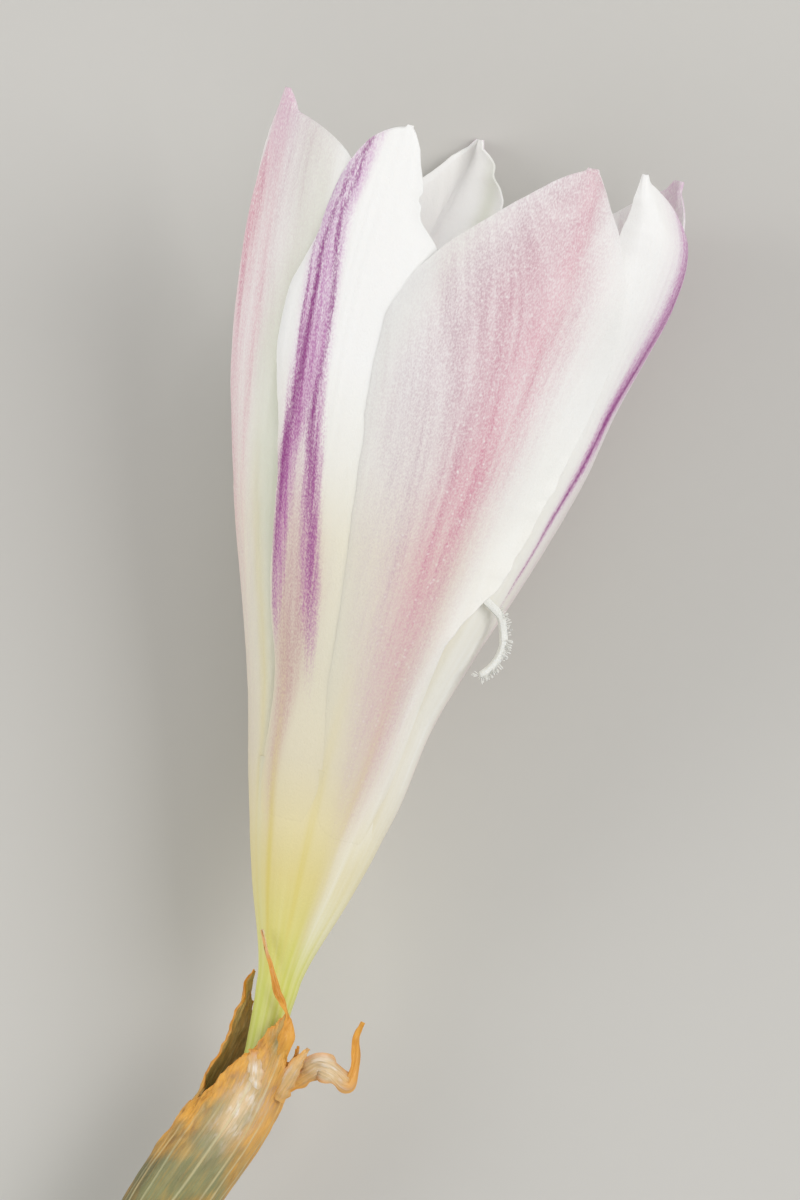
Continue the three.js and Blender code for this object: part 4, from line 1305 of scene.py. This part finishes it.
# fmt: off
AWN = Strip(
    path=(
        (0.5, -3.6, 1.2), (0.75, -2.4, 1.42), (0.78, -1.75, 1.42), (0.65, -1.29, 1.40), (0.35, -0.85, 1.40),
        (-0.03, -0.335, 1.44), (-0.47, 0.51, 1.47), (-0.87, 1.22, 1.5), (-1.19, 1.9, 1.6),
    ),
    widths=(0.9, 0.75, 0.5, 0.16, 0.28, 0.3, 0.2, 0.15, 0.08), twist=(0, 0, 15, 60, 30, 20, 50, 60, 90), cup=0.4,
    dry=(0.7, 0.9, 1.0, 1.0, 1.0, 1.0, 1.0, 0.9, 0.4), pale=(0, 0, 0, 0, 0, 0, 0.1, 0.7, 1.0),
    orange=(0, 0.2, 0.6, 0.7, 0.7, 0.6, 0.6, 0.2, 0.0),
)
RIBBON = Strip(
    path=(
        (1.3, -4.3, 0.4), (1.95, -3.62, 0.55), (2.45, -3.13, 0.7), (3.1, -3.3, 0.6), (3.85, -3.6, 0.4),
        (3.93, -2.6, 0.3), (3.73, -1.6, 0.35), (3.84, -0.9, 0.45),
    ),
    widths=(0.5, 1.0, 1.05, 0.9, 0.7, 0.46, 0.3, 0.1), twist=(0, 10, 30, -25, 15, 50, 40, 0), cup=0.35,
    dry=(0.9, 0.7, 0.3, 0.3, 0.9, 1.0, 1.0, 1.0), pale=(0, 0.3, 0.9, 0.9, 0.3, 0, 0, 0),
    orange=(0, 0, 0, 0, 0.3, 0.5, 0.5, 0.3),
)
SIDE_FLAP = Strip(
    path=((1.05, -4.9, 1.05), (1.45, -3.6, 1.28), (1.86, -2.5, 1.12)), widths=(0.7, 0.62, 0.1), twist=(0, 20, 30),
    cup=0.6, dry=(0.7, 0.6, 0.9), pale=(0.2, 0.5, 0.2), rows=34,
)
FRONT_FLAP = Strip(
    path=((0.05, -5.2, 1.5), (-0.1, -4.1, 1.74), (-0.25, -3.05, 1.66)), widths=(0.4, 0.7, 0.55), twist=(0, -8, 10),
    cup=0.5, dry=(0.3, 0.2, 1.0), pale=(0.9, 1.0, 0.2), orange=(0, 0, 0, 0.2, 0.8), rows=34,
)
BRACTS = (
    Bract(
        node="bract_outer", name="outer_bract",
        rim=(
            (-80, -6.9), (-62, -6.1), (-45, -5.25), (-28, -3.9), (-9, -3.0), (0, -2.35), (13, -1.65), (24, -1.3),
            (37, -1.5), (43, -2.9), (52, -3.1), (61, -2.5), (74, -2.5), (84, -3.3), (100, -3.6), (124, -4.6),
        ),
        shreds=(AWN, RIBBON, SIDE_FLAP, FRONT_FLAP), seed=1.3,
    ),
    Bract(
        node="bract_inner", name="inner_bract",
        rim=(
            (110, -4.8), (127, -4.2), (142, -3.2), (156, -3.6), (170, -2.0), (184, -2.6), (200, -1.4), (214, -1.9),
            (228, -0.9), (240, -0.2), (250, 0.35), (258, -0.5), (266, -2.2), (286, -5.5),
        ),
        swell=-0.14, seed=6.7,
    ),
)
# fmt: on


@dataclass(frozen=True)
class BractSkin:
    """Dry, papery bract: a thin membrane with pale parallel veins.

    It is olive where green tissue still shows through, caramel where it has withered and brown
    inside, with an orange torn edge, pale silky parts with painted highlights on their crumples
    and painted shade down its left side.
    """

    name: str = "dry papery bract"
    low_olive: str = "#858A50"
    olive: str = "#97946C"
    shade: str = "#7D7850"
    stripe: str = "#5F5A38"
    caramel: str = "#E9AC48"
    rust: str = "#B0762C"
    orange: str = "#DB8F2A"
    vein: str = "#D9D0A4"
    silk: str = "#E8CCA2"
    gleam: str = "#F8F2EA"
    inner: str = "#D0A45C"
    inner_gleam: str = "#F3D896"
    fibre: Triple = (0.07, 1.4, 0.07)
    mottle: Triple = (0.4, 1.1, 0.4)
    crinkle: Triple = (0.14, 0.6, 0.14)
    crinkle_height: float = 0.03 * MM
    light_depth: float = 0.2 * MM
    roughness: Row = (0.32, 0.54)
    olive_from: float = -13.0
    olive_full: float = -7.5

    def make(self) -> Material:
        """Build the material.

        Returns:
            The material, which reads the flow and the bract's attributes.
        """
        sheet = Finish(self.name)
        flow = sheet.stored(FLOW, "Vector")
        height = add_node(sheet.tree, "SeparateXYZ", {0: flow}).outputs["Y"]
        fibres = sheet.grain(flow, self.fibre, detail=3.0)
        mottle = sheet.grain(flow, self.mottle, detail=4.0, spread=0.16)
        crinkle = sheet.grain(flow, self.crinkle, detail=3.0, spread=0.15)
        sheet.colour = linear(self.low_olive)
        sheet.lay(self.olive, sheet.spread(height, self.olive_from, self.olive_full))
        sheet.lay(self.shade, mottle, 0.6)
        # Dark olive for the dark stripe and patches, and for the painted shade down the left side.
        sheet.lay(self.stripe, sheet.stored("dark"), sheet.plus(fibres, 0.4, 0.6))
        caramel = sheet.tint(linear(self.caramel), self.rust, mottle, crinkle)
        sheet.lay(caramel, sheet.plus(fibres, 0.35, sheet.plus(sheet.stored("dry"), 1.15, -0.15)), 1.0)
        silk = sheet.times(sheet.stored("pale"), sheet.plus(fibres, 0.5, 0.6))
        sheet.lay(self.silk, silk)
        # Painted highlight: near-white gleam on the crinkles of the pale silky parts.
        sheet.lay(self.gleam, silk, mottle, sheet.spread(crinkle, 0.4, 1.0))
        sheet.lay(self.vein, sheet.stored("vein"), 0.6)
        # Lining: brown with pale golden streaks, which are partly streaky colour and partly a painted highlight.
        lining = sheet.tint(linear(self.inner), self.inner_gleam, fibres, sheet.plus(mottle, 1.2, 0.0))
        sheet.lay(sheet.tint(lining, self.shade, crinkle, 0.5), sheet.stored("inside"))
        sheet.lay(self.orange, sheet.stored("edge"), sheet.plus(crinkle, 0.5, 0.5))
        bump = (sheet.plus(fibres, 0.6, crinkle), self.crinkle_height, 0.8)
        return sheet.done(fibres, self.roughness, bump, (0.1, self.light_depth, (1.0, 0.8, 0.6)), IOR=1.45)


@dataclass(frozen=True)
class Stem:
    """The cut stalk and the ovary at its top, green and finely ribbed."""

    ovary_top: float = -4.5
    ovary_bottom: float = -9.2
    ovary_radius: float = 1.0
    ovary_steps: int = 24
    ovary_sides: int = 48
    ovary_groove: float = 0.94
    stem_top: float = -9.5
    radius_top: float = 0.85
    radius_end: float = 1.1
    stem_steps: int = 130
    stem_sides: int = 72
    ribs: int = 9
    groove: float = 0.965
    cut_half: float = 0.3
    cut_insets: tuple[tuple[float, float], ...] = ((0.12, 0.0), (0.12, -0.07), (0.35, -0.03))

    def ovary(self) -> Piece:
        """The three lobed ovary, drawn down the spine."""
        swells = [math.sin(math.pi * (0.05 + 0.9 * k / self.ovary_steps)) for k in range(self.ovary_steps + 1)]
        radii = [self.ovary_radius * math.sqrt(max(0.18, swell)) for swell in swells]
        path = SPINE.path(self.ovary_top, self.ovary_bottom, self.ovary_steps)
        return extrude_along("green_ovary", path, radii, self.ovary_sides, 3, self.ovary_groove)

    def stalk(self) -> Piece:
        """The stalk, drawn down the spine, with its cut end.

        Returns:
            The piece, in the bloom's frame.
        """
        path = SPINE.path(self.stem_top, SPINE.end, self.stem_steps)
        plain = enumerate(stepped(self.radius_top, self.radius_end, self.stem_steps))
        radii = [radius * (0.985 + 0.015 * rough(k * 0.35, 2.0, 0.0)) for k, radius in plain]
        piece = extrude_along("green_stalk", path, radii, self.stem_sides, self.ribs, self.groove)
        pick(piece, [(face.center - path[-1]).length < self.cut_half for face in piece.data.polygons], "FACE")
        for thickness, depth in self.cut_insets:
            bpy.ops.mesh.inset(thickness=thickness, depth=depth)
        bpy.ops.object.mode_set(mode="OBJECT")
        return piece


@dataclass(frozen=True)
class GreenSkin:
    """Living stalk skin: smooth, waxy and green, with paler lengthwise stripes."""

    name: str = "green stalk skin"
    green: str = "#93AE50"
    pale: str = "#BCD088"
    dark: str = "#74903C"
    stripe: Triple = (0.16, 9.0, 0.16)
    cell: float = 0.12 * MM
    cell_height: float = 0.02 * MM
    light_depth: float = 0.4 * MM
    roughness: Row = (0.35, 0.55)

    def make(self) -> Material:
        """Build the material.

        Returns:
            The material, which reads the flow and object coordinates.
        """
        sheet = Finish(self.name)
        stripes = sheet.grain(sheet.stored(FLOW, "Vector"), self.stripe)
        stops = ((0.1, self.dark), (0.9, self.pale), (0.5, self.green))
        sheet.colour = add_node(sheet.tree, "ValToRGB", {0: stripes}, stops).outputs[0]
        cells = sheet.grain(add_node(sheet.tree, "TexCoord").outputs["Object"], (self.cell,) * 3)
        light = (0.2, self.light_depth, (0.6, 1.0, 0.3))
        return sheet.done(cells, self.roughness, (cells, self.cell_height, 0.5), light, IOR=1.4)


@dataclass(frozen=True)
class PlainFlesh:
    """Small glassy flower part: one soft colour with a fine grain and light passing through it."""

    name: str
    light: str
    dark: str
    grain: float
    roughness: Row
    grain_height: float = 0.015 * MM
    light_depth: float = 0.3 * MM

    def make(self) -> Material:
        """Build the material.

        Returns:
            The material, which reads object coordinates.
        """
        sheet = Finish(self.name)
        grains = sheet.grain(add_node(sheet.tree, "TexCoord").outputs["Object"], (self.grain,) * 3)
        sheet.colour = sheet.tint(linear(self.dark), self.light, grains)
        light = (0.5, self.light_depth, (1.0, 0.95, 0.9))
        return sheet.done(grains, self.roughness, (grains, self.grain_height, 0.8), light, IOR=1.4)


@dataclass(frozen=True)
class Stamens:
    """Three stamens inside the funnel: a slender stalk each, with a long two sacked anther."""

    azimuths: Row = (-95, 25, 145)
    foot: float = 3.2
    top: float = 9.9
    foot_out: float = 0.86
    bow: float = 0.3
    top_out: float = 1.6
    stalk_radius: float = 0.26
    stalk_tapers: float = 0.3
    stalk_steps: int = 24
    stalk_sides: int = 16
    anther_bottom: float = 9.7
    anther_top: float = 16.4
    anther_top_out: float = 2.6
    anther_half_width: float = 0.55
    anther_half_depth: float = 0.36
    taper: float = 0.955
    taper_to: float = 0.8
    taper_steps: int = 8
    groove: float = 0.68
    groove_half: float = 0.13

    def stalk(self, name: str, azimuth: float) -> Piece:
        """One stalk, drawn up to its anther and slightly bowed."""
        middle = around(azimuth, self.foot_out + self.bow, (self.foot + self.top) / 2)
        ends = (around(azimuth, self.foot_out, self.foot), middle, around(azimuth, self.top_out, self.top))
        shares = [1 - self.stalk_tapers * k / self.stalk_steps for k in range(self.stalk_steps + 1)]
        radii = [self.stalk_radius * share for share in shares]
        return extrude_along(name, through(ends, self.stalk_steps), radii, self.stalk_sides)

    def anther(self, name: str, azimuth: float) -> Piece:
        """One anther: a ball tapered to the tip, grooved between its sacs and stretched into place.

        Args:
            name: The piece's name.
            azimuth: Where it stands.

        Returns:
            The piece, in the bloom's frame.
        """
        piece = add_shape(bpy.ops.mesh.primitive_uv_sphere_add, name, segments=40, ring_count=48, radius=1.0)
        for k in range(self.taper_steps):
            above = [vertex.co.z > self.taper_to * k / self.taper_steps for vertex in piece.data.vertices]
            resize(piece, above, (self.taper, self.taper, 1.0))
        between = [abs(vertex.co.x) < self.groove_half for vertex in piece.data.vertices]
        resize(piece, between, (1.0, self.groove, 1.0))
        low = around(azimuth, self.top_out, self.anther_bottom)
        high = around(azimuth, self.anther_top_out, self.anther_top)
        up = (high - low).normalized()
        across = around(azimuth + 90, 1.0, 0.0)
        turn = Matrix((across, up.cross(across), up)).transposed().to_4x4()
        size = Matrix.Diagonal((self.anther_half_width, self.anther_half_depth, (high - low).length / 2, 1.0))
        piece.matrix_world = Matrix.Translation((low + high) / 2) @ turn @ size
        take(piece)
        bpy.ops.object.transform_apply()
        return piece


@dataclass(frozen=True)
class Style:
    """The style, its three branches and the papillae that catch the pollen."""

    node: str = "style"
    name: str = "branched_style"
    column: tuple[Triple, ...] = ((0, 3.2, 0), (0.05, 7, 0.05), (0.2, 11, 0.15), (0.5, 14.6, 0.4))
    column_radius: float = 0.22
    column_steps: int = 40
    branches: tuple[tuple[Triple, ...], ...] = (
        (
            (0.5, 14.4, 0.4), (1.6, 16.6, 1.5), (2.9, 18.2, 2.8), (4.0, 18.2, 3.8), (4.62, 17.6, 3.82),
            (5.1, 17.3, 3.2), (5.5, 17.0, 2.7), (5.74, 16.45, 2.35), (5.89, 15.85, 2.2), (5.79, 15.2, 2.1),
            (5.49, 14.65, 2.1), (5.2, 14.37, 2.15),
        ),
        ((0.5, 14.4, 0.4), (-0.2, 16.6, 1.0), (-1.2, 18.6, 1.8), (-2.4, 19.6, 2.4), (-3.2, 19.0, 2.6)),
        ((0.5, 14.4, 0.4), (0.6, 16.8, -0.4), (0.6, 18.9, -1.6), (0.4, 20.2, -3.0), (0.2, 19.8, -3.9)),
    )  # fmt: skip
    branch_radius: float = 0.18
    blunt_from: float = 0.95
    flattened: float = 0.72
    sides: int = 16
    steps: int = 110
    papillae_from: float = 0.5
    papilla_pitch: float = 0.06
    papilla_length: float = 0.3
    papilla_radius: float = 0.036
    papilla_neck: float = 0.6
    papilla_head: float = 0.3
    papilla_swing: float = 1.3
    papilla_root: float = 0.75
    bend_reach: int = 6
    first_seed: int = 11

    def branch(self, path: Sequence[Vector]) -> Piece:
        """One branch, a flattened rod that ends in a blunt tip."""
        tips = [max((k / (len(path) - 1) - self.blunt_from) / 0.05, 0.0) for k in range(len(path))]
        radii = [self.branch_radius * math.sqrt(max(1 - tip**2, 0.05)) for tip in tips]
        return extrude_along("style_branch", path, radii, self.sides, 2, self.flattened)

    def papilla(self) -> Piece:
        """One papilla: a ball drawn out into a stalk with a swollen head, its foot near the origin."""
        piece = add_shape(bpy.ops.mesh.primitive_uv_sphere_add, "papilla", segments=7, ring_count=6, radius=1.0)
        below = [vertex.co.z < self.papilla_head for vertex in piece.data.vertices]
        resize(piece, below, (self.papilla_neck, self.papilla_neck, 1.0))
        piece.scale = (self.papilla_radius, self.papilla_radius, self.papilla_length / 2)
        piece.location = (0.0, 0.0, 0.38 * self.papilla_length)
        bpy.ops.object.transform_apply()
        return piece

    def tuft(self, path: Sequence[Vector], seed: int) -> list[Piece]:
        """Papillae along the outer side of one branch, each a copy with its own mesh.

        Args:
            path: Places along the branch.
            seed: Start of its random draws.

        Returns:
            The papillae.
        """
        dice = random.Random(seed)
        model = self.papilla()
        last = len(path) - 1
        length = sum((b - a).length for a, b in zip(path, path[1:]))
        count = int(length * (1 - self.papillae_from) / self.papilla_pitch)
        made = []
        for i in range(count):
            share = self.papillae_from + (1 - self.papillae_from) * (i + dice.random()) / count
            k = min(max(round(share * last), self.bend_reach), last - 1)
            ahead = (path[k + 1] - path[k - 1]).normalized()
            reach = min(self.bend_reach, last - k)
            bend = path[k + reach] + path[k - reach] - 2 * path[k]
            outer = ahead * bend.dot(ahead) - bend
            outer = outer.normalized() if outer.length > 1e-4 else Vector((1.0, 0.0, 0.0))
            way = Matrix.Rotation(dice.uniform(-self.papilla_swing, self.papilla_swing), 3, ahead) @ outer
            way = (way + ahead * (dice.uniform(-0.25, 0.35) + 1.2 * ease(0.96, 1.0, share))).normalized()
            turn = way.to_track_quat("Z", "Y").to_matrix().to_4x4()
            copy = model.copy()
            copy.data = model.data.copy()
            bpy.context.collection.objects.link(copy)
            root = Matrix.Translation(path[k] + way * (self.branch_radius * self.papilla_root))
            copy.data.transform(root @ turn @ Matrix.Scale(dice.uniform(0.7, 1.15), 4))
            made.append(copy)
        bpy.data.objects.remove(model)
        return made

    def build(self) -> Piece:
        """Join column, branches and papillae.

        Returns:
            The piece, in the bloom's frame.
        """
        radii = [self.column_radius] * (self.column_steps + 1)
        parts = [extrude_along(self.name, through(self.column, self.column_steps), radii, self.sides)]
        for number, knots in enumerate(self.branches):
            path = through(knots, self.steps)
            parts.append(self.branch(path))
            parts += self.tuft(path, self.first_seed + number)
        return join(parts, self.name)


@dataclass(frozen=True)
class Studio:
    """Plain pale table, soft lights and a long lens that looks down on the bloom."""

    frame_height: float = 50.4
    centre: Triple = (1.24, 16.70, 0.0)
    tilt: float = math.atan2(186, 780)
    distance: float = 1.5
    sensor: float = 36.0
    table_side: float = 6.0
    table: str = "#C9C7C2"
    card_fibre: float = 1.1 * MM
    sky: str = "#FFFFFF"
    sky_strength: float = 0.55
    aim: Triple = (0.0, 0.02, 0.009)

    def make_table(self) -> None:
        """Lay the table top, a matt pale card with a faint grain, under the flower."""
        table = add_shape(bpy.ops.mesh.primitive_plane_add, "table_top", size=self.table_side)
        card = Finish("matt pale card")
        card.colour = linear(self.table)
        fibre = card.grain(add_node(card.tree, "TexCoord").outputs["Object"], (self.card_fibre,) * 3)
        table.data.materials.append(card.done(fibre, (0.85, 0.95)))

    def add_light(self, name: str, way: Triple, distance: float, size: float, power: float) -> None:
        """Hang one soft area light, aimed at the flower.

        Args:
            name: The light's name.
            way: Direction from the flower to the light.
            distance: How far away, in metres.
            size: Side of the square light, in metres.
            power: Its power in watts.
        """
        data = bpy.data.lights.new(name, "AREA")
        data.shape = "SQUARE"
        data.size = size
        data.energy = power
        lamp = bpy.data.objects.new(name, data)
        bpy.context.collection.objects.link(lamp)
        back = Vector(way).normalized()
        lamp.location = back * distance + Vector(self.aim)
        lamp.rotation_mode = "QUATERNION"
        lamp.rotation_quaternion = back.to_track_quat("Z", "Y")
        lamp.visible_camera = False

    def light(self) -> None:
        """Light the table evenly, with the key from the upper right."""
        world = bpy.data.worlds.new("soft room")
        bpy.context.scene.world = world
        world.use_nodes = True
        background = world.node_tree.nodes["Background"]
        background.inputs["Color"].default_value = linear(self.sky)
        background.inputs["Strength"].default_value = self.sky_strength
        self.add_light("key_softbox", (0.8, 0.35, 1.0), 0.7, 0.45, 2.4)
        self.add_light("fill_softbox", (-1.0, -0.1, 0.5), 0.7, 0.5, 1.9)

    def point_camera(self) -> None:
        """Set the lens over the bloom, turned so that it leans to the right as in the photograph."""
        data = bpy.data.cameras.new("table_lens")
        data.sensor_width = self.sensor
        data.lens = self.sensor * self.distance / (self.frame_height * MM)
        data.clip_start = 0.1
        data.clip_end = 20.0
        camera = bpy.data.objects.new("table_lens", data)
        bpy.context.collection.objects.link(camera)
        turn = LIE.matrix.to_3x3().normalized()
        right = turn @ Vector((math.cos(self.tilt), math.sin(self.tilt), 0.0))
        up = turn @ Vector((-math.sin(self.tilt), math.cos(self.tilt), 0.0))
        back = turn @ Vector((0.0, 0.0, 1.0))
        basis = Matrix((right, up, back)).transposed().to_4x4()
        camera.matrix_world = Matrix.Translation(LIE.matrix @ Vector(self.centre) + back * self.distance) @ basis
        bpy.context.scene.camera = camera
        bpy.context.scene.view_settings.view_transform = "Standard"


@dataclass(frozen=True)
class Flower:
    """The whole cut flower, built and dressed piece by piece."""

    skin: TepalSkin = TepalSkin()
    paper: BractSkin = BractSkin()
    green: GreenSkin = GreenSkin()
    stem: Stem = Stem()
    stamens: Stamens = Stamens()
    style: Style = Style()
    tube: PerianthTube = PerianthTube()

    def bloom(self) -> None:
        """Build the six tepals and the fused neck."""
        material = self.skin.make()
        for tepal in TEPALS:
            lay_down(tepal.build(), tepal.node, material, 80)
        lay_down(self.tube.build(), self.tube.node, material, 80)

    def sheath(self) -> None:
        """Build the two bracts."""
        material = self.paper.make()
        for bract in BRACTS:
            lay_down(bract.build(), bract.node, material, 50)

    def stalk(self) -> None:
        """Build ovary and stalk."""
        material = self.green.make()
        lay_down(self.stem.ovary(), "ovary", material, 40)
        lay_down(self.stem.stalk(), "stem", material, 40)

    def heart(self) -> None:
        """Build stamens and style: wet, glassy stalks, dusty pollen and clear white papillae."""
        stalk_skin = PlainFlesh("glassy stamen stalk", "#F3EFD8", "#E6DFB8", 0.08 * MM, (0.35, 0.55)).make()
        pollen = PlainFlesh("dry cream pollen", "#E8D58C", "#CDB257", 0.05 * MM, (0.65, 0.85), 0.03 * MM).make()
        papilla_skin = PlainFlesh("glassy white stigma", "#FBFBF6", "#EDEDE4", 0.06 * MM, (0.25, 0.45)).make()
        for number, azimuth in enumerate(self.stamens.azimuths, start=1):
            stalk = self.stamens.stalk(f"stamen_stalk_{number}", azimuth)
            lay_down(stalk, f"filament_{number}", stalk_skin, 40)
            anther = self.stamens.anther(f"pollen_anther_{number}", azimuth)
            lay_down(anther, f"anther_{number}", pollen, 40)
        lay_down(self.style.build(), self.style.node, papilla_skin, 60)


def main() -> None:
    """Build the flower and the studio round it."""
    logging.basicConfig(level=logging.INFO, format="%(name)s: %(message)s")
    studio = Studio()
    studio.point_camera()
    studio.light()
    studio.make_table()
    flower = Flower()
    flower.bloom()
    flower.sheath()
    flower.stalk()
    flower.heart()


if __name__ == "__main__":
    main()
